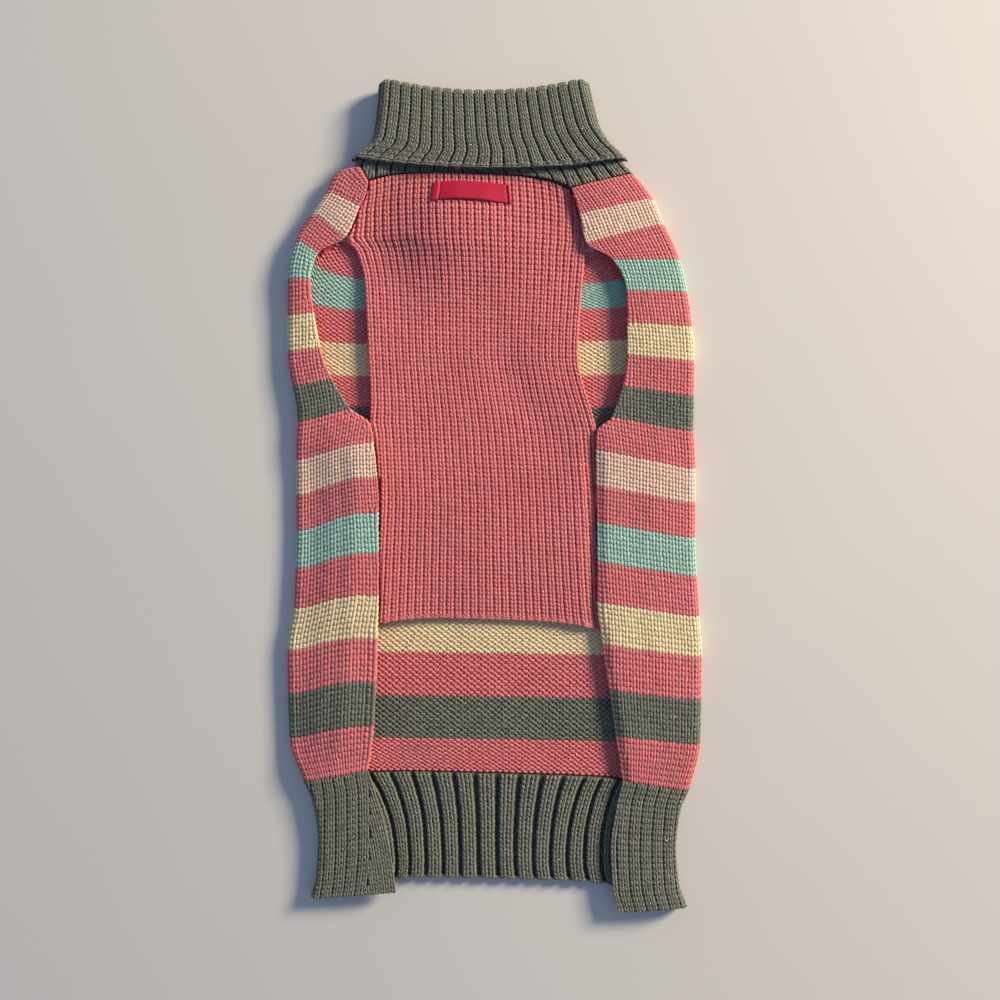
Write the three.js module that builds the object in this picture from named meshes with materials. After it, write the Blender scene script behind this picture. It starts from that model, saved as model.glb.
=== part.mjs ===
// Small knitted dog sweater with a folded turtleneck, laid flat with its belly side up.
// Millimetres. X runs across the garment, Y from the hem towards the collar, Z up from the table.
// The origin is on the flat underside of the back panel, at the middle of the garment.
import * as THREE from "three";

// Rows of numbers under named columns.
const table = (columns, rows) => rows.map((row) => Object.fromEntries(columns.map((name, i) => [name, row[i]])));

// Wall thickness of each cut piece, and the clearances between them.
const WALL = { back: 2.0, belly: 2.2, hem: 2.0, collar: 2.4, label: 1.0 };
const SEAM_GAP = 0.3;
const NECK_SEAM_GAP = 0.5;

// Heights of the rib knit above its valleys.
const RIB = { belly: 0.5, hem: 0.6, collar: 0.7, neck: 0.6 };
const RIBS_ACROSS = { belly: 31, hemSide: 5, hemFold: 2, hemMiddle: 12, collarFront: 18, collarEnd: 3 };

// Round a fold, ribs fade out between these shares of the turn from its top, so that they rest flat.
const RIB_FADE = { from: 0.45, to: 0.75 };

// Columns of points across each plain run of cloth.
const PLAIN_COLUMNS = { side: 5, fold: 6, back: 12, hemHidden: 3, collarUnder: 12 };

// The share of the hem band's middle that its folded sides hide, at each end.
const HEM_HIDDEN_SHARE = 0.2;

// One 2 by 2 rib over its width: the share of the width, and the share of the rib's height there.
const RIB_SHAPE = table(
  ["along", "height"],
  [
    [0, 0],
    [0.25, 1],
    [0.75, 1],
  ],
);

// The back panel wraps round both sides on to the front. Each row is one line of knitting, numbered in
// colour stripes from the neck: the free edge of the panel's left and right side, the folds where the
// panel turns under, and the middle of the back.
const BACK_LINES = table(
  ["line", "edgeLX", "edgeLY", "foldLX", "foldLY", "backY", "foldRX", "foldRY", "edgeRX", "edgeRY"],
  [
    [0, -58.8,  147.8, -65.1,  154.2,  142.2, 65.3,  150.9, 36.0,  144.5],
    [0.35, -59.7,  142.2, -72.9,  152.0,  137.9, 68.9,  146.9, 37.6,  139.8],
    [1, -62.7,  135.9, -79.2,  142.2,  129.5, 74.6,  139.5, 40.0,  132.6],
    [2, -69.6,  121.7, -86.0,  132.1,  116.3, 79.9,  127.5, 43.2,  119.1],
    [3, -82.3,  114.2, -93.5,  119.6,  102.7, 87.0,  111.6, 55.5,  111.2],
    [4, -85.8,  102.5, -96.8,  102.7,   90.5, 90.6,   96.3, 62.0,   96.8],
    [6, -81.1,   70.3, -96.8,   68.9,   59.0, 93.8,   64.0, 62.5,   67.0],
    [8, -67.2,   41.6, -92.1,   36.0,   28.0, 93.4,   31.3, 55.0,   37.8],
    [8.5, -58.2,   35.0, -92.6,   27.0,   19.5, 94.0,   22.3, 48.2,   31.0],
    [9, -55.9,   25.9, -92.9,   18.1,   11.5, 94.3,   13.7, 47.7,   22.7],
    [11, -53.6,   -6.8, -92.8,  -15.3,  -20.0, 94.2,  -18.6, 48.4,  -11.5],
    [13, -53.6,  -45.4, -94.0,  -51.8,  -54.8, 96.2,  -55.5, 48.4,  -48.8],
    [14, -54.0,  -65.6, -97.0,  -71.7,  -72.9, 97.3,  -74.5, 50.8,  -68.7],
    [16, -55.8, -106.0, -96.1, -112.6, -113.5, 96.6, -115.4, 57.1, -111.6],
    [17, -58.8, -127.4, -89.8, -132.3, -130.0, 91.7, -136.9, 60.2, -132.3],
  ],
);
const HEM_LINE = 17;

// The rib band below it, from its seam (0) to its free edge (1).
const HEM_LINES = table(
  ["line", "edgeLX", "edgeLY", "foldLX", "foldLY", "backY", "foldRX", "foldRY", "edgeRX", "edgeRY"],
  [
    [0.18, -55.5, -137.5, -85.5, -142.2, -139.5, 87.7, -146.5, 57.5, -143.5],
    [0.5, -50.0, -157.0, -82.7, -160.5, -155.0, 85.4, -165.0, 54.5, -163.5],
    [0.8, -47.0, -174.0, -83.6, -178.0, -170.0, 86.9, -182.0, 55.4, -183.0],
    [1, -45.6, -184.8, -86.2, -188.0, -179.5, 90.7, -192.4, 58.3, -194.4],
  ],
);

// Heights over the table along the same lines: the outer face of the front layer, and the underside,
// which rises at the neck to lie on the folded collar.
const SIDE_HEIGHTS = table(
  ["line", "top", "under"],
  [
    [0, 8.3, 2.9],
    [0.35, 8.3, 1.9],
    [1, 8.0, 0.3],
    [1.5, 7.8,   0],
    [3, 7.3,   0],
    [14, 7.3,   0],
    [17, 7.0,   0],
  ],
);
const SIDE_PUFF = 0.5;

// The belly panel's free edges beside the leg holes. Above and below them it is sewn to the back panel.
const LEG_HOLE = { first: 2, last: 8.5 };
const BELLY_EDGES = table(
  ["line", "leftX", "rightX"],
  [
    [2, -69.3, 42.9],
    [2.5, -66.4, 43.0],
    [3, -64.4, 42.8],
    [4, -61.1, 41.4],
    [6, -59.2, 39.6],
    [8, -57.7, 46.4],
    [8.5, -57.9, 47.9],
  ],
);
const BELLY_LAST_LINE = 13.7;

// Heights of the belly panel's outer face, and how far its lines arch towards the collar.
const BELLY_HEIGHTS = table(
  ["line", "middle", "left", "right", "arch"],
  [
    [0, 8.3, 8.3, 8.1, 5.4],
    [1, 7.6, 7.8, 7.0, 3.6],
    [2, 6.8, 7.2, 6.4, 1.8],
    [4, 5.6, 6.5, 6.0,   0],
    [8, 5.0, 6.5, 6.0,   0],
    [9, 4.9, 7.0, 6.0,   0],
    [12, 4.9, 7.0, 6.0, 1.0],
    [14, 4.9, 6.8, 6.0, 4.2],
  ],
);

// Lines of knitting that carry a row of points. Sewn edges share them, so that the seam gap stays even.
const SEWN_TOP_LINES = [0, 0.35, 1, 1.5, 2, 2.5, 3];
const SEWN_LOWER_LINES = [8, 8.5, 9, 10, 11.5, 13, BELLY_LAST_LINE];
const BACK_STATIONS = [...SEWN_TOP_LINES, 3.5, 4, 5, 6, 7, ...SEWN_LOWER_LINES, 14.3, 15, 16, 16.5, HEM_LINE];
const BELLY_STATIONS = [...SEWN_TOP_LINES, 4, 6, ...SEWN_LOWER_LINES];
const HEM_STATIONS = [0, 0.18, 0.4, 0.7, 0.9, 1];

// The collar is a ribbed tube of flattened rings, folded down over itself. Each ring has two flat runs of
// this half length and round ends. The rows go from the neck seam to the fold.
const COLLAR_RINGS = table(
  ["level", "half", "centre"],
  [
    [152.0, 62.3, -0.1],
    [158.4, 58.4, -2.1],
    [161.4, 55.4, -1.8],
    [165.2, 50.9, -1.5],
    [173.2, 47.1, -3.0],
    [182.4, 45.1, -3.8],
    [192.2, 43.6, -4.6],
  ],
);
const COLLAR = { seam: 152.0, freeEdge: 158.4, fold: 192.2, sag: 5.0, middleZ: 5.6, innerRadius: 0.5, layerGap: 0.3 };

// The flap flares at this level. The wall inside it has no row of points there.
const FLAP_FLARE_LEVEL = 161.4;

const LABEL = { fromLine: 0.28, toLine: 1.0, fromShare: 0.32, toShare: 0.69, clearance: 0.3, columns: 10, rows: 3 };

const COLOUR = { pink: 0xe07f8b, grey: 0x8d9086, crimson: 0xc1083e };

const lerp = (a, b, t) => a + (b - a) * t;
const clamp01 = (t) => Math.min(1, Math.max(0, t));

// A smooth curve through one column of a table that never overshoots its rows.
function curveThrough(rows, key, column) {
  const at = rows.map((row) => row[key]);
  const value = rows.map((row) => row[column]);
  const slope = at.slice(1).map((x, i) => (value[i + 1] - value[i]) / (x - at[i]));
  const tangent = at.map((_, i) => {
    if (i === 0) return slope[0];
    if (i === at.length - 1) return slope[i - 1];
    const [before, after] = [slope[i - 1], slope[i]];
    return before * after <= 0 ? 0 : (2 * before * after) / (before + after);
  });
  return (x) => {
    const last = at.length - 2;
    const found = at.findIndex((edge, i) => i > 0 && x <= edge) - 1;
    const i = found < 0 ? (x <= at[0] ? 0 : last) : found;
    const width = at[i + 1] - at[i];
    const t = clamp01((x - at[i]) / width);
    const [t2, t3] = [t * t, t * t * t];
    return (
      (2 * t3 - 3 * t2 + 1) * value[i] +
      (t3 - 2 * t2 + t) * width * tangent[i] +
      (3 * t2 - 2 * t3) * value[i + 1] +
      (t3 - t2) * width * tangent[i + 1]
    );
  };
}

// Curves through every column of a table, read together as one object.
function tableCurves(rows, key) {
  const columns = Object.keys(rows[0]).filter((name) => name !== key);
  const curves = columns.map((name) => [name, curveThrough(rows, key, name)]);
  return (x) => Object.fromEntries(curves.map(([name, curve]) => [name, curve(x)]));
}

const backLine = tableCurves(BACK_LINES, "line");
const sideHeights = tableCurves(SIDE_HEIGHTS, "line");
const bellyEdges = tableCurves(BELLY_EDGES, "line");
const bellyHeights = tableCurves(BELLY_HEIGHTS, "line");
const collarRing = tableCurves(COLLAR_RINGS, "level");

// The hem band starts where the back panel ends, one seam gap lower.
function hemTable() {
  const seam = { ...backLine(HEM_LINE), line: 0 };
  for (const name of ["edgeLY", "foldLY", "backY", "foldRY", "edgeRY"]) seam[name] -= SEAM_GAP;
  return [seam, ...HEM_LINES];
}
const hemLine = tableCurves(hemTable(), "line");

// Index triangles between two neighbouring lists of vertices of one length.
function stitch(index, a, b) {
  for (let i = 0; i + 1 < a.length; i++) index.push(a[i], b[i], b[i + 1], a[i], b[i + 1], a[i + 1]);
}

function geometryOf(points, index) {
  const geometry = new THREE.BufferGeometry();
  geometry.setAttribute("position", new THREE.Float32BufferAttribute(points.flatMap((p) => [p.x, p.y, p.z]), 3));
  geometry.setIndex(index);
  geometry.computeVertexNormals();
  return geometry;
}

// Twice the signed volume under the triangles tells whether they face outwards.
function facesOutward(points, index) {
  let sum = 0;
  for (let i = 0; i < index.length; i += 3) {
    const [a, b, c] = [points[index[i]], points[index[i + 1]], points[index[i + 2]]];
    sum += a.dot(new THREE.Vector3().crossVectors(b, c));
  }
  return sum > 0;
}

function outwardGeometry(points, index) {
  return geometryOf(points, facesOutward(points, index) ? index : index.slice().reverse());
}

// A closed wall between two grids of points with the same rows and columns.
function wallGeometry(outer, inner) {
  const [rows, columns] = [outer.length, outer[0].length];
  const points = [...outer.flat(), ...inner.flat()];
  const out = (r, c) => r * columns + c;
  const inn = (r, c) => rows * columns + out(r, c);
  const row = (pick, r) => Array.from({ length: columns }, (_, c) => pick(r, c));
  const column = (pick, c) => Array.from({ length: rows }, (_, r) => pick(r, c));
  const index = [];
  for (let r = 0; r + 1 < rows; r++) {
    stitch(index, row(out, r), row(out, r + 1));
    stitch(index, row(inn, r + 1), row(inn, r));
  }
  stitch(index, row(inn, 0), row(out, 0));
  stitch(index, row(out, rows - 1), row(inn, rows - 1));
  stitch(index, column(out, 0), column(inn, 0));
  stitch(index, column(inn, columns - 1), column(out, columns - 1));
  return outwardGeometry(points, index);
}

// A closed ring of wall: each row is a closed loop of points, and the last row meets the first.
function ringGeometry(loops) {
  const columns = loops[0].length;
  const closed = (r) => Array.from({ length: columns + 1 }, (_, c) => (r % loops.length) * columns + (c % columns));
  const index = [];
  loops.forEach((_, r) => stitch(index, closed(r), closed(r + 1)));
  return outwardGeometry(loops.flat(), index);
}

// Evenly spaced plain columns of a run, from its start up to but not including its end.
function plainRun(part, count) {
  return Array.from({ length: count }, (_, i) => ({ part, share: i / count, rib: 0 }));
}

// Columns of a run of ribs, with the height of the rib at each.
function ribbedRun(part, ribs) {
  return Array.from({ length: ribs }, (_, i) => i).flatMap((i) =>
    RIB_SHAPE.map(({ along, height }) => ({ part, share: (i + along) / ribs, rib: height })),
  );
}

// How much of a rib is raised round a fold: whole on the upper half, fading out towards the underside.
const foldFade = (share) => clamp01((RIB_FADE.to - share) / (RIB_FADE.to - RIB_FADE.from));

// A point of the wrapped panel on one line of knitting, on its outer or inner face. The section runs from
// the left free edge over the left fold, across the back, and over the right fold to the right free edge.
function wrappedPoint(at, height, column, wall, rib, onOuter) {
  const { part, share } = column;
  const radius = (height.top - height.under) / 2;
  const middleZ = height.under + radius;
  const left = { edgeX: at.edgeLX, edgeY: at.edgeLY, foldX: at.foldLX, foldY: at.foldLY, side: -1 };
  const right = { edgeX: at.edgeRX, edgeY: at.edgeRY, foldX: at.foldRX, foldY: at.foldRY, side: 1 };
  const depth = onOuter ? 0 : wall;
  if (part === "base") {
    const meanY = lerp(left.foldY, right.foldY, share);
    const bow = (at.backY - (left.foldY + right.foldY) / 2) * (1 - (2 * share - 1) ** 4);
    const x = lerp(left.foldX + radius, right.foldX - radius, share);
    return new THREE.Vector3(x, meanY + bow, height.under + (onOuter ? 0 : wall + rib * column.rib));
  }
  const panel = part.startsWith("left") ? left : right;
  const centreX = panel.foldX - panel.side * radius;
  if (part.endsWith("Side")) {
    const fromEdge = panel === left ? share : 1 - share;
    const puff = SIDE_PUFF * Math.sin(Math.PI * fromEdge);
    const valley = onOuter ? rib * (1 - column.rib) : 0;
    const z = height.top + puff - depth - valley;
    return new THREE.Vector3(lerp(panel.edgeX, centreX, fromEdge), lerp(panel.edgeY, panel.foldY, fromEdge), z);
  }
  const fromTop = panel === left ? share : 1 - share;
  const angle = Math.PI * fromTop;
  const valley = onOuter ? rib * (1 - column.rib) * foldFade(fromTop) : 0;
  const reach = radius - depth - valley;
  return new THREE.Vector3(
    centreX + panel.side * reach * Math.sin(angle),
    panel.foldY,
    middleZ + reach * Math.cos(angle),
  );
}

function wrappedPanel(stations, lineAt, heightAt, columns, wall, rib) {
  const face = (onOuter) =>
    stations.map((line) => columns.map((c) => wrappedPoint(lineAt(line), heightAt(line), c, wall, rib, onOuter)));
  return wallGeometry(face(true), face(false));
}

function backPanel() {
  const columns = [
    ...plainRun("leftSide", PLAIN_COLUMNS.side),
    ...plainRun("leftFold", PLAIN_COLUMNS.fold),
    ...plainRun("base", PLAIN_COLUMNS.back),
    ...plainRun("rightFold", PLAIN_COLUMNS.fold),
    ...plainRun("rightSide", PLAIN_COLUMNS.side),
    { part: "rightSide", share: 1, rib: 0 },
  ];
  return wrappedPanel(BACK_STATIONS, backLine, sideHeights, columns, WALL.back, 0);
}

// The band's ribs show on its folded sides and on the upper face of its middle. It rests on a plain face.
function hemBand() {
  const within = (columns, from, to) => columns.map((column) => ({ ...column, share: lerp(from, to, column.share) }));
  const hidden = plainRun("base", PLAIN_COLUMNS.hemHidden);
  const middle = ribbedRun("base", RIBS_ACROSS.hemMiddle);
  const columns = [
    ...ribbedRun("leftSide", RIBS_ACROSS.hemSide),
    ...ribbedRun("leftFold", RIBS_ACROSS.hemFold),
    ...within(hidden, 0, HEM_HIDDEN_SHARE),
    ...within(middle, HEM_HIDDEN_SHARE, 1 - HEM_HIDDEN_SHARE),
    ...within(hidden, 1 - HEM_HIDDEN_SHARE, 1),
    ...ribbedRun("rightFold", RIBS_ACROSS.hemFold),
    ...ribbedRun("rightSide", RIBS_ACROSS.hemSide),
    { part: "rightSide", share: 1, rib: 0 },
  ];
  const heights = sideHeights(HEM_LINE);
  return wrappedPanel(HEM_STATIONS, hemLine, () => heights, columns, WALL.hem, RIB.hem);
}

// The belly panel's smooth outer face, at a share of its width from left to right on one line.
function bellySurface(share, line) {
  const strip = backLine(line);
  const sewn = line <= LEG_HOLE.first || line >= LEG_HOLE.last;
  const free = bellyEdges(line);
  const leftX = sewn ? strip.edgeLX + SEAM_GAP : free.leftX;
  const rightX = sewn ? strip.edgeRX - SEAM_GAP : free.rightX;
  const height = bellyHeights(line);
  const fromMiddle = 2 * share - 1;
  const edgeZ = fromMiddle < 0 ? height.left : height.right;
  return new THREE.Vector3(
    lerp(leftX, rightX, share),
    lerp(strip.edgeLY, strip.edgeRY, share) + height.arch * (1 - fromMiddle ** 4),
    lerp(height.middle, edgeZ, Math.abs(fromMiddle) ** 3),
  );
}

// Fine 1 by 1 rib: each rib is one ridge between two valleys.
function bellyPanel() {
  const steps = 2 * RIBS_ACROSS.belly;
  const face = (lift) =>
    BELLY_STATIONS.map((line) =>
      Array.from({ length: steps + 1 }, (_, i) => {
        const point = bellySurface(i / steps, line);
        point.z += lift(i);
        return point;
      }),
    );
  return wallGeometry(
    face((i) => (i % 2 ? 0 : -RIB.belly)),
    face(() => -WALL.belly),
  );
}

// A small woven label sewn flat on the belly panel below the collar.
function label() {
  const face = (lift) =>
    Array.from({ length: LABEL.rows }, (_, r) =>
      Array.from({ length: LABEL.columns + 1 }, (_, c) => {
        const share = lerp(LABEL.fromShare, LABEL.toShare, c / LABEL.columns);
        const line = lerp(LABEL.fromLine, LABEL.toLine, r / (LABEL.rows - 1));
        const point = bellySurface(share, line);
        point.z += LABEL.clearance + lift;
        return point;
      }),
    );
  return wallGeometry(face(WALL.label), face(0));
}

// The top edge of the body at the neck, over the front layers and over the back. Its folds are round, so
// the flat runs end one fold radius short of the sides.
function neckEnds() {
  const strip = backLine(0);
  const { top, under } = sideHeights(0);
  const radius = (top - under) / 2;
  return { strip, leftX: strip.foldLX + radius, rightX: strip.foldRX - radius };
}

function frontNeckY(x) {
  const { strip, leftX, rightX } = neckEnds();
  if (x < strip.edgeLX) return lerp(strip.edgeLY, strip.foldLY, clamp01((strip.edgeLX - x) / (strip.edgeLX - leftX)));
  if (x > strip.edgeRX) return lerp(strip.edgeRY, strip.foldRY, clamp01((x - strip.edgeRX) / (rightX - strip.edgeRX)));
  return bellySurface((x - strip.edgeLX) / (strip.edgeRX - strip.edgeLX), 0).y;
}

function backNeckY(x) {
  const { strip, leftX, rightX } = neckEnds();
  const share = clamp01((x - leftX) / (rightX - leftX));
  const bow = (strip.backY - (strip.foldLY + strip.foldRY) / 2) * (1 - (2 * share - 1) ** 4);
  return lerp(strip.foldLY, strip.foldRY, share) + bow;
}

// Columns round a collar ring: ribbed over the front and both ends, plain where it lies on the table.
function collarColumns() {
  return [
    ...ribbedRun("front", RIBS_ACROSS.collarFront),
    ...ribbedRun("rightEnd", RIBS_ACROSS.collarEnd),
    ...plainRun("under", PLAIN_COLUMNS.collarUnder),
    ...ribbedRun("leftEnd", RIBS_ACROSS.collarEnd),
  ];
}

// A point of the collar: the ring at a level along the tube, and the depth outwards from the tube's
// innermost face. A groove lowers the valleys between the ribs.
function collarPoint(column, level, depth, groove) {
  const ring = collarRing(level);
  const { part, share, rib } = column;
  const fromTop = part === "rightEnd" ? share : 1 - share;
  const fade = part === "under" ? 0 : part === "front" ? 1 : foldFade(fromTop);
  const radius = COLLAR.innerRadius + depth - groove * (1 - rib) * fade;
  const across = { front: lerp(-1, 1, share), under: lerp(1, -1, share), rightEnd: 1, leftEnd: -1 }[part];
  const angle = { front: 0, under: Math.PI, rightEnd: Math.PI * share, leftEnd: Math.PI * (1 + share) }[part];
  const x = ring.centre + across * ring.half + radius * Math.sin(angle);
  const z = COLLAR.middleZ + radius * Math.cos(angle);
  const sagged = level - COLLAR.sag * (1 - across * across);
  if (level > COLLAR.seam) return new THREE.Vector3(x, sagged, z);
  const neckY = part === "under" ? backNeckY(x) : frontNeckY(x);
  return new THREE.Vector3(x, neckY + NECK_SEAM_GAP, z);
}

// The tube's cut edge, followed as one closed outline: up inside the neck, over the fold, down the outside
// of the turned down flap, back up under the flap, and down the outside of the neck wall.
function collarOutline() {
  const levels = COLLAR_RINGS.map((row) => row.level);
  const wallLevels = levels.filter((level) => level !== FLAP_FLARE_LEVEL);
  const flapLevels = levels.slice(1).reverse();
  const wall = WALL.collar;
  const flapInner = wall + COLLAR.layerGap;
  const flapOuter = flapInner + wall;
  const foldRadius = flapOuter / 2;
  const hidden = wallLevels.filter((level) => level > COLLAR.freeEdge);
  const fold = [0.25, 0.5, 0.75].map((turn) => ({
    level: COLLAR.fold + foldRadius * Math.sin(Math.PI * turn),
    depth: foldRadius - foldRadius * Math.cos(Math.PI * turn),
    groove: turn < 0.5 ? 0 : RIB.collar,
  }));
  return [
    ...wallLevels.map((level) => ({ level, depth: 0, groove: 0 })),
    ...fold,
    ...flapLevels.map((level) => ({ level, depth: flapOuter, groove: RIB.collar })),
    { level: COLLAR.freeEdge, depth: flapInner, groove: 0 },
    ...hidden.map((level) => ({ level, depth: flapInner, groove: 0 })),
    ...hidden.slice().reverse().map((level) => ({ level, depth: wall, groove: 0 })),
    { level: COLLAR.freeEdge, depth: wall, groove: RIB.neck },
    { level: COLLAR.seam, depth: wall, groove: RIB.neck },
  ];
}

function collar() {
  const columns = collarColumns();
  return ringGeometry(
    collarOutline().map(({ level, depth, groove }) => columns.map((c) => collarPoint(c, level, depth, groove))),
  );
}

function piece(name, geometry, color) {
  const material = new THREE.MeshStandardMaterial({ color, roughness: 0.95, metalness: 0 });
  const mesh = new THREE.Mesh(geometry, material);
  mesh.name = name;
  return mesh;
}

const sweater = new THREE.Group();
sweater.add(piece("back_panel", backPanel(), COLOUR.pink));
sweater.add(piece("belly_panel", bellyPanel(), COLOUR.pink));
sweater.add(piece("hem_band", hemBand(), COLOUR.grey));
sweater.add(piece("collar", collar(), COLOUR.grey));
sweater.add(piece("label", label(), COLOUR.crimson));

export default sweater;
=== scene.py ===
"""Small knitted dog sweater with a folded turtleneck, laid flat with its belly side up.

Each cut piece is a thin shell of ground cloth on the form of its solid, with real yarn stitches lying on it:
smooth knit on the striped sides, purl bumps inside, one by one rib on the belly panel, and two by two rib on
the collar and the hem band. Sizes are in millimetres until a mesh is made, which is in metres.
"""

import logging
import math
from collections.abc import Callable, Sequence
from dataclasses import dataclass
from enum import Enum
from functools import partial
from typing import ClassVar

import bpy
import numpy as np
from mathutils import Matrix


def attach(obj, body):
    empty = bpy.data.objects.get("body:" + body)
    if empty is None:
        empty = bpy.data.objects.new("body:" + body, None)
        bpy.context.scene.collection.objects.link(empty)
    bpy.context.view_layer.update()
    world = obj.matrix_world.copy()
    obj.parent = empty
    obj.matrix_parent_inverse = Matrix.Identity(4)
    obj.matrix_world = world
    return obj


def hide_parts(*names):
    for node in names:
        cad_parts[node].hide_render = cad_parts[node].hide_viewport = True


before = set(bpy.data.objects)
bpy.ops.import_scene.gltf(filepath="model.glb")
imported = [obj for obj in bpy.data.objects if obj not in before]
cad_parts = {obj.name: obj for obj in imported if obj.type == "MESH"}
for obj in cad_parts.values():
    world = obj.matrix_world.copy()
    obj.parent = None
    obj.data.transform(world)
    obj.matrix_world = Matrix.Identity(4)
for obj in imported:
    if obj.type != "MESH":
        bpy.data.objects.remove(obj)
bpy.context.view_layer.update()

LOG = logging.getLogger("dog_sweater")
MM = 0.001
Array = np.ndarray
Surface = Callable[[Array, Array], Array]
Socket = bpy.types.NodeSocket


class Curve:
    """A smooth curve through the rows of a table that never overshoots them."""

    def __init__(self, at: Array, value: Array) -> None:
        """Work out the curve's slope at each row.

        Args:
            at: Where each row lies, rising.
            value: The curve's value at each row.
        """
        self.at, self.value = at, value
        slope = np.diff(value) / np.diff(at)
        before, after = slope[:-1], slope[1:]
        turning = before * after <= 0
        total = np.where(turning, 1.0, before + after)
        middle = np.where(turning, 0.0, 2 * before * after / total)
        self.tangent = np.concatenate([slope[:1], middle, slope[-1:]])

    def __call__(self, x: Array) -> Array:
        """The curve's value at each x, held at its ends."""
        x = np.clip(x, self.at[0], self.at[-1])
        i = np.clip(np.searchsorted(self.at, x, side="left") - 1, 0, len(self.at) - 2)
        width = self.at[i + 1] - self.at[i]
        t = (x - self.at[i]) / width
        t2, t3 = t * t, t * t * t
        return (
            (2 * t3 - 3 * t2 + 1) * self.value[i]
            + (t3 - 2 * t2 + t) * width * self.tangent[i]
            + (3 * t2 - 2 * t3) * self.value[i + 1]
            + (t3 - t2) * width * self.tangent[i + 1]
        )


class Table:
    """Rows of numbers under named columns, read as smooth curves of the first column."""

    def __init__(self, columns: str, rows: Sequence[Sequence[float]]) -> None:
        """Make a curve of each column after the first.

        Args:
            columns: The columns' names, with spaces between them.
            rows: The rows, with a number for each column.
        """
        data = np.array(rows, float)
        self.curves = {name: Curve(data[:, 0], data[:, i]) for i, name in enumerate(columns.split()) if i}

    def __call__(self, name: str, x: Array) -> Array:
        """The column called name, at each x."""
        return self.curves[name](x)


# Each row is one line of knitting, numbered in colour stripes from the neck: the free edges of the back
# panel's left and right side, the folds where it turns under, and the middle of the back.
BACK_LINES = Table(
    "line edgeLX edgeLY foldLX foldLY backY foldRX foldRY edgeRX edgeRY",
    [
        (0, -58.8, 147.8, -65.1, 154.2, 142.2, 65.3, 150.9, 36.0, 144.5),
        (0.35, -59.7, 142.2, -72.9, 152.0, 137.9, 68.9, 146.9, 37.6, 139.8),
        (1, -62.7, 135.9, -79.2, 142.2, 129.5, 74.6, 139.5, 40.0, 132.6),
        (2, -69.6, 121.7, -86.0, 132.1, 116.3, 79.9, 127.5, 43.2, 119.1),
        (3, -82.3, 114.2, -93.5, 119.6, 102.7, 87.0, 111.6, 55.5, 111.2),
        (4, -85.8, 102.5, -96.8, 102.7, 90.5, 90.6, 96.3, 62.0, 96.8),
        (6, -81.1, 70.3, -96.8, 68.9, 59.0, 93.8, 64.0, 62.5, 67.0),
        (8, -67.2, 41.6, -92.1, 36.0, 28.0, 93.4, 31.3, 55.0, 37.8),
        (8.5, -58.2, 35.0, -92.6, 27.0, 19.5, 94.0, 22.3, 48.2, 31.0),
        (9, -55.9, 25.9, -92.9, 18.1, 11.5, 94.3, 13.7, 47.7, 22.7),
        (11, -53.6, -6.8, -92.8, -15.3, -20.0, 94.2, -18.6, 48.4, -11.5),
        (13, -53.6, -45.4, -94.0, -51.8, -54.8, 96.2, -55.5, 48.4, -48.8),
        (14, -54.0, -65.6, -97.0, -71.7, -72.9, 97.3, -74.5, 50.8, -68.7),
        (16, -55.8, -106.0, -96.1, -112.6, -113.5, 96.6, -115.4, 57.1, -111.6),
        (17, -58.8, -127.4, -89.8, -132.3, -130.0, 91.7, -136.9, 60.2, -132.3),
    ],
)
HEM_LINE = 17.0
SEAM_GAP = 0.3

# The rib band below it, from its seam (0) to its free edge (1).
HEM_LINES = Table(
    "line edgeLX edgeLY foldLX foldLY backY foldRX foldRY edgeRX edgeRY",
    [
        (0, -58.8, -127.7, -89.8, -132.6, -130.3, 91.7, -137.2, 60.2, -132.6),
        (0.18, -55.5, -137.5, -85.5, -142.2, -139.5, 87.7, -146.5, 57.5, -143.5),
        (0.5, -50.0, -157.0, -82.7, -160.5, -155.0, 85.4, -165.0, 54.5, -163.5),
        (0.8, -47.0, -174.0, -83.6, -178.0, -170.0, 86.9, -182.0, 55.4, -183.0),
        (1, -45.6, -184.8, -86.2, -188.0, -179.5, 90.7, -192.4, 58.3, -194.4),
    ],
)

# Heights over the table along the same lines: the outer face of the front layer, and the underside.
SIDE_HEIGHTS = Table(
    "line top under",
    [(0, 8.3, 2.9), (0.35, 8.3, 1.9), (1, 8.0, 0.3), (1.5, 7.8, 0), (3, 7.3, 0), (14, 7.3, 0), (17, 7.0, 0)],
)

# The belly panel's free edges beside the leg holes. Above and below them it is sewn to the back panel.
LEG_HOLE_FIRST, LEG_HOLE_LAST = 2.0, 8.5
BELLY_EDGES = Table(
    "line leftX rightX",
    [
        (2, -69.3, 42.9),
        (2.5, -66.4, 43.0),
        (3, -64.4, 42.8),
        (4, -61.1, 41.4),
        (6, -59.2, 39.6),
        (8, -57.7, 46.4),
        (8.5, -57.9, 47.9),
    ],
)
BELLY_LAST_LINE = 13.7

# How many of the belly panel's ribs show on each line, as the outer ones run into the seams, and the smooth
# limits that they are spread between. Only the ribs beside an edge follow its corners.
BELLY_RIBS = 31
BELLY_SPREAD = Table(
    "line ribs left right",
    [
        (0, 27.0, -58.5, 35.7),
        (1, 28.4, -61.8, 39.4),
        (2, 30.1, -63.6, 42.0),
        (3, 31, -62.9, 42.6),
        (4, 31, -61.1, 41.6),
        (6, 31, -59.2, 39.8),
        (7, 30.9, -58.4, 42.2),
        (8, 30.6, -57.5, 45.3),
        (9, 30.0, -56.2, 47.1),
        (10, 29.5, -54.7, 47.9),
        (11, 29.0, -53.5, 48.1),
        (13.7, 27.6, -53.6, 49.6),
    ],
)

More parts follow.
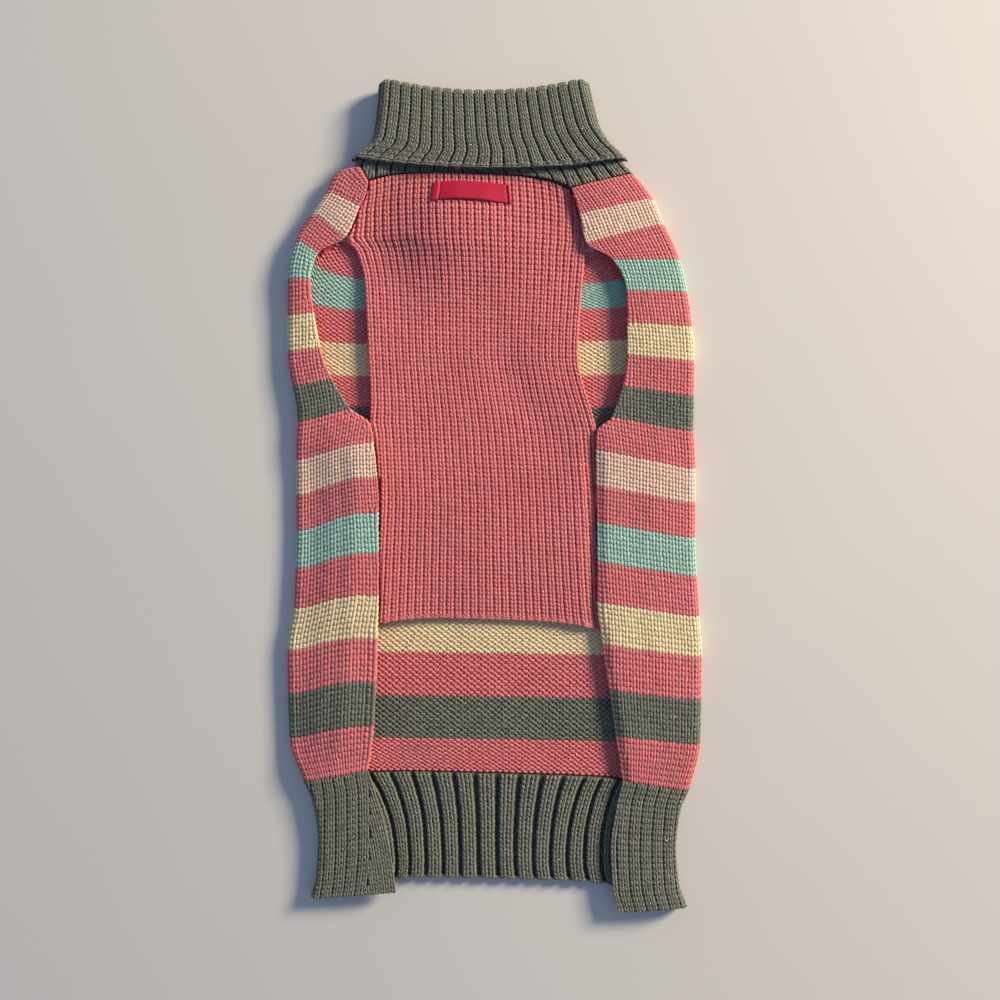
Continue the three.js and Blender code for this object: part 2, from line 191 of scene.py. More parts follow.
# Heights of the belly panel's outer face, and how far its lines arch towards the collar.
BELLY_HEIGHTS = Table(
    "line middle left right arch",
    [
        (0, 8.3, 8.3, 8.1, 5.4),
        (1, 7.6, 7.8, 7.0, 3.6),
        (2, 6.8, 7.2, 6.4, 1.8),
        (4, 5.6, 6.5, 6.0, 0),
        (8, 5.0, 6.5, 6.0, 0),
        (9, 4.9, 7.0, 6.0, 0),
        (12, 4.9, 7.0, 6.0, 1.0),
        (14, 4.9, 6.8, 6.0, 4.2),
    ],
)

# Half lengths and middles of the collar's flattened rings, from the neck seam to the fold.
COLLAR_RINGS = Table(
    "level half centre",
    [
        (152.0, 62.3, -0.1),
        (158.4, 58.4, -2.1),
        (161.4, 55.4, -1.8),
        (165.2, 50.9, -1.5),
        (173.2, 47.1, -3.0),
        (182.4, 45.1, -3.8),
        (192.2, 43.6, -4.6),
    ],
)


class Side(Enum):
    """A side of the garment, as the sign of X on it."""

    LEFT = -1
    RIGHT = 1

    @property
    def letter(self) -> str:
        """The side's letter in the names of table columns."""
        return "L" if self is Side.LEFT else "R"


def lerp(a: Array, b: Array, t: Array) -> Array:
    """The value a share t of the way from a to b."""
    return a + (b - a) * t


def smoothstep(low: float, high: float, x: Array) -> Array:
    """A soft step from 0 below low to 1 above high, or down where high is the lower."""
    t = np.clip((x - low) / (high - low), 0, 1)
    return t * t * (3 - 2 * t)


def soft_hump(x: Array, middle: float, width: float) -> Array:
    """A smooth bump of height 1 about its middle."""
    return np.exp(-(((x - middle) / width) ** 2))


def stack(x: Array, y: Array, z: Array) -> Array:
    """Points from their three coordinates."""
    return np.stack(np.broadcast_arrays(x, y, z), axis=-1)


def unit(vectors: Array) -> Array:
    """The vectors at length one."""
    return vectors / np.maximum(np.linalg.norm(vectors, axis=-1, keepdims=True), 1e-9)


def raised(
    surface: Surface, a: Array, b: Array, height: Array, step_a: float, step_b: float, facing: int = 1
) -> Array:
    """Points a height over a surface, along its outward normal.

    Args:
        surface: Gives a point for each pair of coordinates.
        a: First coordinate of each point.
        b: Second coordinate of each point.
        height: Height over the surface, in millimetres.
        step_a: A small step of the first coordinate.
        step_b: A small step of the second coordinate.
        facing: 1 where the first coordinate's direction crossed with the second's points outwards, else -1.

    Returns:
        The raised points.
    """
    across = surface(a + step_a, b) - surface(a - step_a, b)
    along = surface(a, b + step_b) - surface(a, b - step_b)
    normal = facing * unit(np.cross(across, along))
    return surface(a, b) + normal * np.asarray(height)[..., None]


@dataclass(frozen=True)
class Wrapped:
    """Cloth that covers the back and turns round both sides on to the front.

    Attributes:
        lines: Where its edges, folds and middle lie.
        heights_at: The line whose heights count, or None where each line has its own.
        puff: How much the front layer rises between its edge and its fold.
    """

    lines: Table
    heights_at: float | None
    puff: float = 0.5

    def heights(self, line: Array) -> tuple[Array, Array]:
        """Height of the outer face of the front layer and of the underside, on each line."""
        line = np.full_like(line, self.heights_at) if self.heights_at is not None else line
        return SIDE_HEIGHTS("top", line), SIDE_HEIGHTS("under", line)

    def fold_radius(self, line: Array) -> Array:
        """Outer radius of the folds on each line."""
        top, under = self.heights(line)
        return (top - under) / 2

    def run(self, side: Side, line: Array) -> Array:
        """Length of the front layer on a line, from its edge to the top of its fold."""
        n = side.letter
        centre = self.lines(f"fold{n}X", line) - side.value * self.fold_radius(line)
        return np.hypot(
            self.lines(f"edge{n}X", line) - centre,
            self.lines(f"edge{n}Y", line) - self.lines(f"fold{n}Y", line),
        )

    def bend(self, side: Side, inwards: Array, run: Array, line: Array) -> Array:
        """How far the lines of the left side bow towards the neck beside its doubled seam."""
        if self.heights_at is not None or side is Side.RIGHT:
            return 0 * inwards
        from_edge = run - inwards
        sewn = smoothstep(8.4, 9.6, line) * smoothstep(17, 15.5, line)
        return 1.9 * smoothstep(0, 12, from_edge) * smoothstep(0, 20, inwards) * sewn

    def crease(self, side: Side, inwards: Array, run: Array, line: Array) -> Array:
        """Soft waves of the front layer: the doubled seam along its inner edge and slow swells.

        Args:
            side: The side of the garment.
            inwards: Distance from the top of the fold towards the edge.
            run: Length of the front layer on that line.
            line: The line of knitting.

        Returns:
            How far the cloth rises.
        """
        from_edge = run - inwards
        phase = line if self.heights_at is None else self.heights_at + 4 * line
        swell = 0.28 * np.sin(phase * 0.9 + 1.3 * side.value) * np.sin(inwards * 0.11 + phase * 0.35)
        if self.heights_at is not None:
            return swell
        sewn = smoothstep(8.2, 9.4, line)
        if side is Side.LEFT:
            brow = 13.0 + 0.8 * np.clip(line - 9, 0, 8)
            seam = 2.8 - 1.4 * smoothstep(-5, 4, from_edge - brow) - 3.5 * smoothstep(0, 22, from_edge - brow)
            seam = seam * (1 - smoothstep(16.0, 16.9, line))
        else:
            seam = -1.2 * smoothstep(5, 0, from_edge) - 0.3 * soft_hump(from_edge, 18, 6)
        shoulder = -0.7 * smoothstep(16, 2, inwards) * smoothstep(3.2, 5, line) * (side is Side.LEFT)
        return seam * sewn + shoulder * (1 - sewn) + swell

    def front(self, side: Side, inwards: Array, line: Array) -> Array:
        """Outer face of the front layer and of the fold beside it.

        Args:
            side: The side of the garment.
            inwards: Distance from the top of the fold towards the edge, or below 0 round the fold.
            line: The line of knitting.

        Returns:
            The points.
        """
        n = side.letter
        top, under = self.heights(line)
        radius = (top - under) / 2
        fold_y = self.lines(f"fold{n}Y", line)
        centre = self.lines(f"fold{n}X", line) - side.value * radius
        run = self.run(side, line)
        share = inwards / run
        above = np.maximum(inwards, 0)
        crease = self.crease(side, above, run, line)
        rise = self.puff * np.sin(math.pi * np.clip(share, 0, 1)) + crease
        flat = stack(
            lerp(centre, self.lines(f"edge{n}X", line), share),
            lerp(fold_y, self.lines(f"edge{n}Y", line), share) + self.bend(side, above, run, line),
            top + rise,
        )
        angle = np.maximum(-inwards, 0) / radius
        round_fold = stack(
            centre + side.value * radius * np.sin(angle),
            fold_y,
            under + radius + (radius + crease / 2) * np.cos(angle) + crease / 2,
        )
        return np.where((inwards >= 0)[..., None], flat, round_fold)

    def back(self, share: Array, line: Array, lift: float = 0.0) -> Array:
        """The layer on the table: a share of its width from left to right, lifted off the underside."""
        _, under = self.heights(line)
        radius = self.fold_radius(line)
        left_y, right_y = self.lines("foldLY", line), self.lines("foldRY", line)
        bow = (self.lines("backY", line) - (left_y + right_y) / 2) * (1 - (2 * share - 1) ** 4)
        if self.heights_at is None:
            # Beside the left leg hole the back is pulled down, away from the front layer.
            beside = smoothstep(0, 0.05, share) * smoothstep(0.4, 0.02, share)
            bow = bow - 8.0 * beside * soft_hump(line, 4.5, 3.3)
        return stack(
            lerp(self.lines("foldLX", line) + radius, self.lines("foldRX", line) - radius, share),
            lerp(left_y, right_y, share) + bow,
            under + lift,
        )


BACK_CLOTH = Wrapped(BACK_LINES, None)
HEM_CLOTH = Wrapped(HEM_LINES, HEM_LINE)


def belly_sides(line: Array) -> tuple[Array, Array]:
    """Where the belly panel's left and right edge lie on each line."""
    sewn = (line <= LEG_HOLE_FIRST) | (line >= LEG_HOLE_LAST)
    left = np.where(sewn, BACK_LINES("edgeLX", line) + SEAM_GAP, BELLY_EDGES("leftX", line))
    right = np.where(sewn, BACK_LINES("edgeRX", line) - SEAM_GAP, BELLY_EDGES("rightX", line))
    return left, right


def belly_share(rib: Array, line: Array) -> Array:
    """The share of the belly panel's width at which a place counted in ribs lies on each line."""
    left, right = belly_sides(line)
    showing, first, last = (BELLY_SPREAD(name, line) for name in ("ribs", "left", "right"))
    part = (rib - (BELLY_RIBS - showing) / 2) / showing
    corners = (left - first) * np.clip(1 - part, 0, 1.1) ** 13 + (right - last) * np.clip(part, 0, 1.1) ** 13
    return (lerp(first, last, part) + corners - left) / (right - left)


def belly_line(course_share: Array) -> Array:
    """The line that a share of the belly panel's courses reaches, where they are all equally high."""
    lines = np.linspace(0, BELLY_LAST_LINE, 160)
    down = -(BACK_LINES("edgeLY", lines) + BACK_LINES("edgeRY", lines))
    return np.interp(np.clip(course_share, 0, 1), (down - down[0]) / (down[-1] - down[0]), lines)


def belly_point(share: Array, line: Array) -> Array:
    """The belly panel's smooth outer face, at a share of its width from left to right on each line."""
    left, right = belly_sides(line)
    across = 2 * share - 1
    side = np.where(across < 0, BELLY_HEIGHTS("left", line), BELLY_HEIGHTS("right", line))
    seam_dip = 2.0 * smoothstep(0.93, 0.995, share) * (smoothstep(8.2, 9.4, line) + smoothstep(2.0, 1.2, line))
    # A trough from the left shoulder down, the soft brow on its right, and a slack diagonal lower down.
    chest = soft_hump(line, 2.3, 2.0)
    trough = soft_hump(across, -0.82, 0.32)
    brow = soft_hump(across, -0.14, np.where(across < -0.14, 0.42, 0.62))
    slack = soft_hump(across - 0.09 * (line - 6.5), 0.32, 0.2) * soft_hump(line, 6.8, 2.2)
    neck = (1.4 * soft_hump(line, 0, 1.1) - 0.3 * soft_hump(line, 2.4, 1.5)) * (1 - across**4)
    hollow = (2.6 * trough - 3.6 * brow + 1.8 * soft_hump(across, 0.98, 0.4)) * chest + 0.9 * slack + neck
    return stack(
        lerp(left, right, share),
        lerp(BACK_LINES("edgeLY", line), BACK_LINES("edgeRY", line), share)
        + BELLY_HEIGHTS("arch", line) * (1 - across**4),
        lerp(BELLY_HEIGHTS("middle", line), side, np.abs(across) ** 3) - seam_dip - hollow,
    )


@dataclass(frozen=True)
class Yarn:
    """A yarn's colours, as sRGB hex values: its own colours and the colour of its painted shade.

    Attributes:
        name: What the yarn is, for its materials' names.
        colour: Colour of the yarn where light reaches it.
        deep: Painted shade between the stitches and low on them, and the colour its darker fibres lean to.
        fleck: Colour of its lighter fibres.
        gap: How much of its own colour shows through the painted shade between and low on its stitches, from 0 to
            1.
        heather: How strongly light and dark fibres show, from 0 to 1.
        glow: How far red, green and blue light spread in it, as shares of the farthest.
    """

    name: str
    colour: int
    deep: int
    fleck: int
    gap: float
    heather: float = 0.12
    glow: tuple[float, float, float] = (1.0, 0.9, 0.8)


# Each yarn's second colour is painted shade, laid between and low on its stitches; its darker fibres also lean to
# it.
PINK = Yarn("pink_acrylic", 0xDE7F84, 0xCE3C3E, 0xEEA4A8, gap=0.5, glow=(1.0, 0.45, 0.4))
PALE_PINK = Yarn("pale_pink_acrylic", 0xF4CEBA, 0xF0BEA4, 0xFAE0D2, gap=0.8, glow=(1.0, 0.7, 0.6))
AQUA = Yarn("aqua_acrylic", 0xA0D0C2, 0x84B8AA, 0xC0E4DA, gap=0.6, glow=(0.7, 1.0, 0.95))
CREAM = Yarn("cream_acrylic", 0xF2E0B2, 0xECD298, 0xF8E8C2, gap=0.8, glow=(1.0, 0.9, 0.7))
GREY = Yarn("heather_grey_acrylic", 0x6E766C, 0x1C1D14, 0xB6BEB2, gap=0.12, heather=0.5)
YARNS = (PINK, PALE_PINK, AQUA, CREAM, GREY)
STRIPES = (PINK, PALE_PINK, PINK, AQUA, PINK, CREAM, PINK, GREY) * 2 + (PINK,)
STRIPE_YARN = np.array([YARNS.index(yarn) for yarn in STRIPES])


def yarn_of_line(line: Array) -> Array:
    """Which of the yarns each line of the striped cloth is knitted in."""
    return STRIPE_YARN[np.clip(np.floor(line).astype(int), 0, len(STRIPES) - 1)]


def linear(colour: int) -> tuple[float, float, float, float]:
    """An sRGB hex colour as linear red, green, blue and alpha."""
    channels = [(colour >> shift & 255) / 255 for shift in (16, 8, 0)]
    return (*[c / 12.92 if c <= 0.04045 else ((c + 0.055) / 1.055) ** 2.4 for c in channels], 1.0)


def add_node(tree: bpy.types.NodeTree, kind: str, inputs: dict | None = None, **options) -> bpy.types.Node:
    """Add a node to a tree.

    Args:
        tree: A shader or geometry node tree.
        kind: The node's type.
        inputs: Input name or number to a value, or to the socket that feeds it.
        options: The node's own settings.

    Returns:
        The new node.
    """
    node = tree.nodes.new(kind)
    for name, value in options.items():
        setattr(node, name, value)
    for key, value in (inputs or {}).items():
        if isinstance(value, Socket):
            tree.links.new(value, node.inputs[key])
        else:
            node.inputs[key].default_value = value
    return node


class Shading:
    """A material under construction, with short calls for the nodes that its finish uses."""

    def __init__(self, name: str) -> None:
        """Start an empty node material of that name."""
        self.material = bpy.data.materials.new(name)
        self.material.use_nodes = True
        self.tree = self.material.node_tree
        self.tree.nodes.clear()

    def add(self, kind: str, inputs: dict | None = None, **options) -> bpy.types.Node:
        """Add a node of any kind."""
        return add_node(self.tree, kind, inputs, **options)

    def place(self) -> Socket:
        """Where a point lies on the object, in metres."""
        return self.add("ShaderNodeTexCoord").outputs["Object"]

    def uv(self, name: str) -> tuple[Socket, Socket]:
        """The two coordinates of a UV map."""
        uv_map = self.add("ShaderNodeUVMap", uv_map=name)
        split = self.add("ShaderNodeSeparateXYZ", {"Vector": uv_map.outputs["UV"]})
        return split.outputs["X"], split.outputs["Y"]

    def attribute(self, name: str) -> Socket:
        """A number that the mesh carries under that name."""
        return self.add("ShaderNodeAttribute", attribute_name=name).outputs["Fac"]

    def noise(self, size: float, detail: float, **inputs: float) -> Socket:
        """Noise whose grains are about size millimetres wide."""
        inputs = {"Vector": self.place(), "Scale": 1 / (size * MM), "Detail": detail, **inputs}
        return self.add("ShaderNodeTexNoise", inputs).outputs["Fac"]

    def calc(self, operation: str, *values: Socket | float) -> Socket:
        """The result of a math node."""
        return self.add("ShaderNodeMath", dict(enumerate(values)), operation=operation).outputs[0]

    def remap(self, value: Socket, low: float, high: float, start: float = 0.0, stop: float = 1.0) -> Socket:
        """A value that runs from start to stop as the given one runs from low to high."""
        limits = {"From Min": low, "From Max": high, "To Min": start, "To Max": stop}
        return self.add("ShaderNodeMapRange", {"Value": value, **limits}).outputs["Result"]

    def mix(self, share: Socket | float, first: Socket | int, second: Socket | int) -> Socket:
        """A colour between two, each a socket or an sRGB hex value."""
        a, b = (linear(colour) if isinstance(colour, int) else colour for colour in (first, second))
        return self.add("ShaderNodeMix", {"Factor": share, 6: a, 7: b}, data_type="RGBA").outputs[2]

    def brighten(self, colour: Socket, value: Socket) -> Socket:
        """A colour at another brightness."""
        return self.add("ShaderNodeHueSaturation", {"Color": colour, "Value": value}).outputs["Color"]

    def finish(
        self, shader: dict, relief: Socket | None = None, strength: float = 1.0, height: float = 0.1
    ) -> bpy.types.Material:
        """Close the material with its surface shader.

        Args:
            shader: Inputs of the surface shader.
            relief: Its relief from 0 to 1, or None where it is smooth.
            strength: How strongly the relief shows.
            height: Height of the relief in millimetres.

        Returns:
            The material.
        """
        if relief is not None:
            bump = self.add("ShaderNodeBump", {"Height": relief, "Strength": strength, "Distance": height * MM})
            shader = {**shader, "Normal": bump.outputs["Normal"]}
        surface = self.add("ShaderNodeBsdfPrincipled", shader)
        self.add("ShaderNodeOutputMaterial", {"Surface": surface.outputs["BSDF"]})
        return self.material


@dataclass(frozen=True)
class YarnFinish:
    """Soft spun acrylic yarn: matt, with a faint halo of loose fibres and visible plies.

    Attributes:
        yarn: The yarn and its colours.
        ply_turns: Turns of the plies along one leg of a stitch.
        fibre: Width of the fibre tufts that show, in millimetres, coarser than real fibres so that they do.
        mottle: Width of the slow changes of brightness in millimetres.
        bump: Height of the fibres' relief in millimetres.
    """

    yarn: Yarn
    ply_turns: float = 2.2
    fibre: float = 0.55
    mottle: float = 28.0
    bump: float = 0.2

    def shade(self, shading: Shading, colour: Socket, relief: Socket) -> bpy.types.Material:
        """Finish a yarn material: no gloss, light that spreads inside, and sheen from the loose fibres."""
        shader = {
            "Base Color": colour,
            "Roughness": 0.92,
            "Specular IOR Level": 0.15,
            "Subsurface Weight": 0.6,
            "Subsurface Radius": self.yarn.glow,
            "Subsurface Scale": 2.2 * MM,
            "Sheen Weight": 0.2,
            "Sheen Roughness": 0.5,
            "Sheen Tint": linear(self.yarn.fleck),
        }
        return shading.finish(shader, relief, 0.35, self.bump)

    def fleck(self, shading: Shading, base: Socket) -> tuple[Socket, Socket]:
        """Lighter and darker fibres over a colour.

        Args:
            shading: The material.
            base: The colour under them, which already holds painted shade in the stitches' gaps and hollows.

        Returns:
            The flecked colour and the fibre pattern.
        """
        fibres = shading.noise(self.fibre, 3.0, Roughness=0.6)
        light = shading.remap(fibres, 0.5, 0.72, 0.0, self.yarn.heather)
        dark = shading.remap(fibres, 0.48, 0.3, 0.0, self.yarn.heather)
        # The darker fibres lean to the yarn's painted-shade colour.
        colour = shading.mix(dark, shading.mix(light, base, self.yarn.fleck), self.yarn.deep)
        slow = shading.remap(shading.noise(self.mottle, 2.0), 0.3, 0.7, 0.94, 1.04)
        return shading.brighten(colour, slow), fibres

    def stitches(self) -> bpy.types.Material:
        """The material of stitches that stand on the cloth, with painted shade low on them where they tuck under
        each other.
        """
        shading = Shading(f"{self.yarn.name}_stitches")
        # Painted shade: each stitch darkens towards the painted-shade colour low down, where the stitches tuck
        # under each other.
        painted_shade_fade = shading.remap(shading.attribute("yarn_height"), 0.0, 0.6, self.yarn.gap)
        each = shading.remap(shading.attribute("tint"), 0.0, 1.0, 0.93 - self.yarn.heather * 0.2, 1.06)
        painted_shade_and_tint = shading.brighten(shading.mix(painted_shade_fade, self.yarn.deep, self.yarn.colour), each)
        colour, fibres = self.fleck(shading, painted_shade_and_tint)
        around, along = shading.uv("Strand")
        turns = shading.calc("MULTIPLY_ADD", along, self.ply_turns, around)
        plies = shading.calc("SINE", shading.calc("MULTIPLY", turns, 2 * math.tau))
        return self.shade(shading, colour, shading.calc("MULTIPLY_ADD", plies, 0.25, fibres))

    def ground(self) -> bpy.types.Material:
        """The material of the cloth between the stitches, painted in the shade that falls there from the yarn round
        it.
        """
        shading = Shading(f"{self.yarn.name}_between_stitches")
        # Painted shade: the cloth between the stitches takes a mix of the yarn's colour and its painted-shade
        # colour.
        colour, fibres = self.fleck(shading, shading.mix(self.yarn.gap, self.yarn.deep, self.yarn.colour))
        return self.shade(shading, colour, fibres)

    def knit_face(self) -> bpy.types.Material:
        """The material of smooth knit seen only from below: columns of V stitches drawn as relief, with painted
        shade in their hollows.
        """
        shading = Shading(f"{self.yarn.name}_knit_face")
        wales, courses = shading.uv("Fabric")
        leg = shading.calc("ABSOLUTE", shading.calc("SUBTRACT", shading.calc("FRACT", wales), 0.5))
        course = shading.calc("FRACT", shading.calc("MULTIPLY_ADD", leg, 1.3, courses))
        course_height = shading.calc("SINE", shading.calc("MULTIPLY", course, math.pi))
        leg_height = shading.calc("SINE", shading.calc("MULTIPLY", leg, math.tau))
        knit = shading.calc("MULTIPLY", course_height, leg_height)
        # Painted shade: the hollows of the drawn stitches take the yarn's painted-shade colour.
        base = shading.mix(shading.remap(knit, 0.0, 0.45), self.yarn.deep, self.yarn.colour)
        colour, fibres = self.fleck(shading, base)
        return self.shade(shading, colour, shading.calc("MULTIPLY_ADD", knit, 3.0, fibres))


@dataclass(frozen=True)
class LabelFinish:
    """Woven damask label ribbon: fine crimson thread in a satin face, so it has a low silky gloss.

    Attributes:
        colour: Colour of the thread.
        deep: Painted shade between the threads.
        sheen: Colour of the silky sheen.
        thread: Spacing of the threads in millimetres, about twice the real one so that they show.
    """

    colour: int = 0xC00C40
    deep: int = 0x7A0622
    sheen: int = 0xFF8098
    thread: float = 0.32

    def bands(self, shading: Shading, direction: str) -> Socket:
        """Threads across one direction."""
        scale = math.tau / 20 / (self.thread * MM)
        inputs = {"Vector": shading.place(), "Scale": scale, "Distortion": 0.6, "Detail": 1.0}
        wave = shading.add("ShaderNodeTexWave", inputs, wave_type="BANDS", bands_direction=direction)
        return wave.outputs["Fac"]

    def material(self) -> bpy.types.Material:
        """The ribbon's material, with its threads across and along."""
        shading = Shading("crimson_woven_ribbon")
        weave = shading.calc("MULTIPLY_ADD", self.bands(shading, "X"), 0.5, self.bands(shading, "Y"))
        shader = {
            # Painted shade: the weave's low places between the threads take the darker colour.
            "Base Color": shading.mix(shading.remap(weave, 0.0, 1.1, 0.35), self.deep, self.colour),
            "Roughness": 0.5,
            "Specular IOR Level": 0.4,
            "Sheen Weight": 0.3,
            "Sheen Tint": linear(self.sheen),
        }
        return shading.finish(shader, weave, 0.5, 0.08)


@dataclass(frozen=True)
class TableFinish:
    """A matt off-white table top, a little uneven in tone.

    Attributes:
        tone: Its main colour.
        lighter: Its lighter colour.
        patch: Width of its lighter patches in millimetres.
    """

    tone: int = 0xCDD3D1
    lighter: int = 0xD1D7D5
    patch: float = 1000 / 9

    def material(self) -> bpy.types.Material:
        """The table top's material."""
        shading = Shading("matt_white_table")
        colour = shading.mix(shading.noise(self.patch, 2.0), self.tone, self.lighter)
        return shading.finish({"Base Color": colour, "Roughness": 0.75})


class Finishes:
    """Every material of the sweater, made once."""

    def __init__(self) -> None:
        """Make the materials."""
        finishes = [YarnFinish(yarn) for yarn in YARNS]
        self.stitches = [finish.stitches() for finish in finishes]
        # The ground materials paint the shade between the stitches.
        self.ground = [finish.ground() for finish in finishes]
        self.knit_face = [finish.knit_face() for finish in finishes]
        self.label = LabelFinish().material()

    def of_yarn(self, yarn: Yarn) -> bpy.types.Material:
        """The stitch material of one yarn."""
        return self.stitches[YARNS.index(yarn)]


def mesh_object(
    name: str,
    points: Array,
    faces: Array,
    materials: Sequence[bpy.types.Material],
    face_material: Array | int = 0,
    uv: Array | None = None,
) -> bpy.types.Object:
    """Make a mesh object from points in millimetres.

    Args:
        name: The piece's name.
        points: Its points.
        faces: Rows of four point numbers.
        materials: Its material slots.
        face_material: The slot of each face.
        uv: A place on the flat cloth for each corner of each face, or None.

    Returns:
        The object, at the origin, with smooth faces.
    """
    mesh = bpy.data.meshes.new(name)
    mesh.vertices.add(len(points))
    mesh.vertices.foreach_set("co", (np.asarray(points, float) * MM).ravel())
    mesh.loops.add(faces.size)
    mesh.loops.foreach_set("vertex_index", faces.ravel().astype(np.int32))
    mesh.polygons.add(len(faces))
    mesh.polygons.foreach_set("loop_start", np.arange(0, faces.size, faces.shape[1], dtype=np.int32))
    mesh.update(calc_edges=True)
    mesh.polygons.foreach_set("use_smooth", np.ones(len(faces), bool))
    for material in materials:
        mesh.materials.append(material)
    mesh.polygons.foreach_set("material_index", np.broadcast_to(face_material, len(faces)).astype(np.int32))
    if uv is not None:
        layer = mesh.uv_layers.new(name="Fabric")
        layer.data.foreach_set("uv", uv.reshape(-1, 2).astype(np.float32).ravel())
    mesh.validate()
    piece = bpy.data.objects.new(name, mesh)
    bpy.context.scene.collection.objects.link(piece)
    return piece


def grid_faces(rows: int, columns: int, start: int = 0) -> Array:
    """Quads of a grid of points, row by row, whose numbers start at start."""
    r, c = np.meshgrid(np.arange(rows - 1), np.arange(columns - 1), indexing="ij")
    first = (start + r * columns + c).ravel()
    return np.stack([first, first + columns, first + columns + 1, first + 1], axis=1)


def signed_volume(points: Array, faces: Array) -> float:
    """Six times the volume inside closed quads, above 0 where they face outwards."""
    a, b, c, d = (points[faces[:, i]] for i in range(4))
    return float(np.sum(a * np.cross(b, c)) + np.sum(a * np.cross(c, d)))


def shell(outer: Array, inner: Array) -> tuple[Array, Array]:
    """A closed thin shell between two grids of points.

    Args:
        outer: Rows by columns of points on the outer face.
        inner: As many on the inner face.

    Returns:
        The points, and the quads: the outer face's first, then the inner face's, then the rims.
    """
    rows, columns = outer.shape[:2]
    count = rows * columns
    points = np.concatenate([outer.reshape(-1, 3), inner.reshape(-1, 3)])
    number = np.arange(count).reshape(rows, columns)
    rim = np.concatenate([number[0], number[1:, -1], number[-1, -2::-1], number[-2:0:-1, 0]])
    after = np.roll(rim, -1)
    rims = np.stack([rim, after, after + count, rim + count], axis=1)
    faces = np.concatenate([grid_faces(rows, columns), grid_faces(rows, columns, count)[:, ::-1], rims])
    if signed_volume(points, faces) < 0:
        faces = faces[:, ::-1]
    return points, faces


def tube(path: Array, widths: Array, sides: int, flatness: float = 1.0) -> tuple[Array, Array, Array]:
    """A closed strand of yarn along a path, with pointed ends.

    Args:
        path: Points along the strand, from tip to tip.
        widths: Half the strand's width at each point, 0 at both tips.
        sides: Number of sides.
        flatness: The strand's height as a share of its width.

    Returns:
        The points, quads (a tip's are triangles with one point twice), and each corner's place around and
        along the strand.
    """
    tangent = unit(np.gradient(path, axis=0))
    side = unit(np.cross(tangent, np.array([0.0, 0.0, 1.0])))
    up = np.cross(side, tangent) * flatness
    angle = np.arange(sides) * math.tau / sides + math.pi / 2
    ring = side[:, None] * np.cos(angle)[None, :, None] + up[:, None] * np.sin(angle)[None, :, None]
    points = (path[:, None] + ring * widths[:, None, None]).reshape(-1, 3)
    faces, uv = [], []
    last = len(path) - 1
    for i in range(last):
        for k in range(sides):
            k2 = (k + 1) % sides
            faces.append([i * sides + k, (i + 1) * sides + k, (i + 1) * sides + k2, i * sides + k2])
            low, high = i / last, (i + 1) / last
            uv.append([[k / sides, low], [k / sides, high], [(k + 1) / sides, high], [(k + 1) / sides, low]])
    return points, np.array(faces), np.array(uv)


@dataclass(frozen=True)
class Gauge:
    """Size of one stitch of knitting.

    Attributes:
        wale: Its width in millimetres.
        course: Its height in millimetres.
        yarn: Half the width of its yarn in millimetres.
    """

    wale: float
    course: float
    yarn: float


class StitchKind(Enum):
    """The shape of one stitch: the paths of its strands, as rows of x, y and z in millimetres.

    x is across a wale and y along it, for a stitch 3.2 mm wide and 2.35 mm high. z is over the cloth.
    """

    KNIT = (
        ((0.14, 2.0, 0.22), (0.42, 1.25, 0.52), (0.78, 0.1, 0.6), (0.99, -0.95, 0.44), (1.02, -1.9, 0.06)),
        ((-0.14, 2.0, 0.22), (-0.42, 1.25, 0.52), (-0.78, 0.1, 0.6), (-0.99, -0.95, 0.44), (-1.02, -1.9, 0.06)),
    )
    PURL = (
        ((-1.3, -0.75, 0.05), (-0.85, -0.05, 0.34), (0.0, 0.42, 0.46), (0.85, -0.05, 0.34), (1.3, -0.75, 0.05)),
        ((0.3, 0.15, 0.05), (0.75, -0.75, 0.3), (1.6, -1.15, 0.4), (2.45, -0.75, 0.3), (2.9, 0.15, 0.05)),
    )


NOMINAL = Gauge(wale=3.2, course=2.35, yarn=0.88)
STRAND_FLATNESS = 0.5
STRAND_SIDES = 5
STRAND_TAPER = np.array([0.0, 0.86, 1.0, 0.86, 0.0])


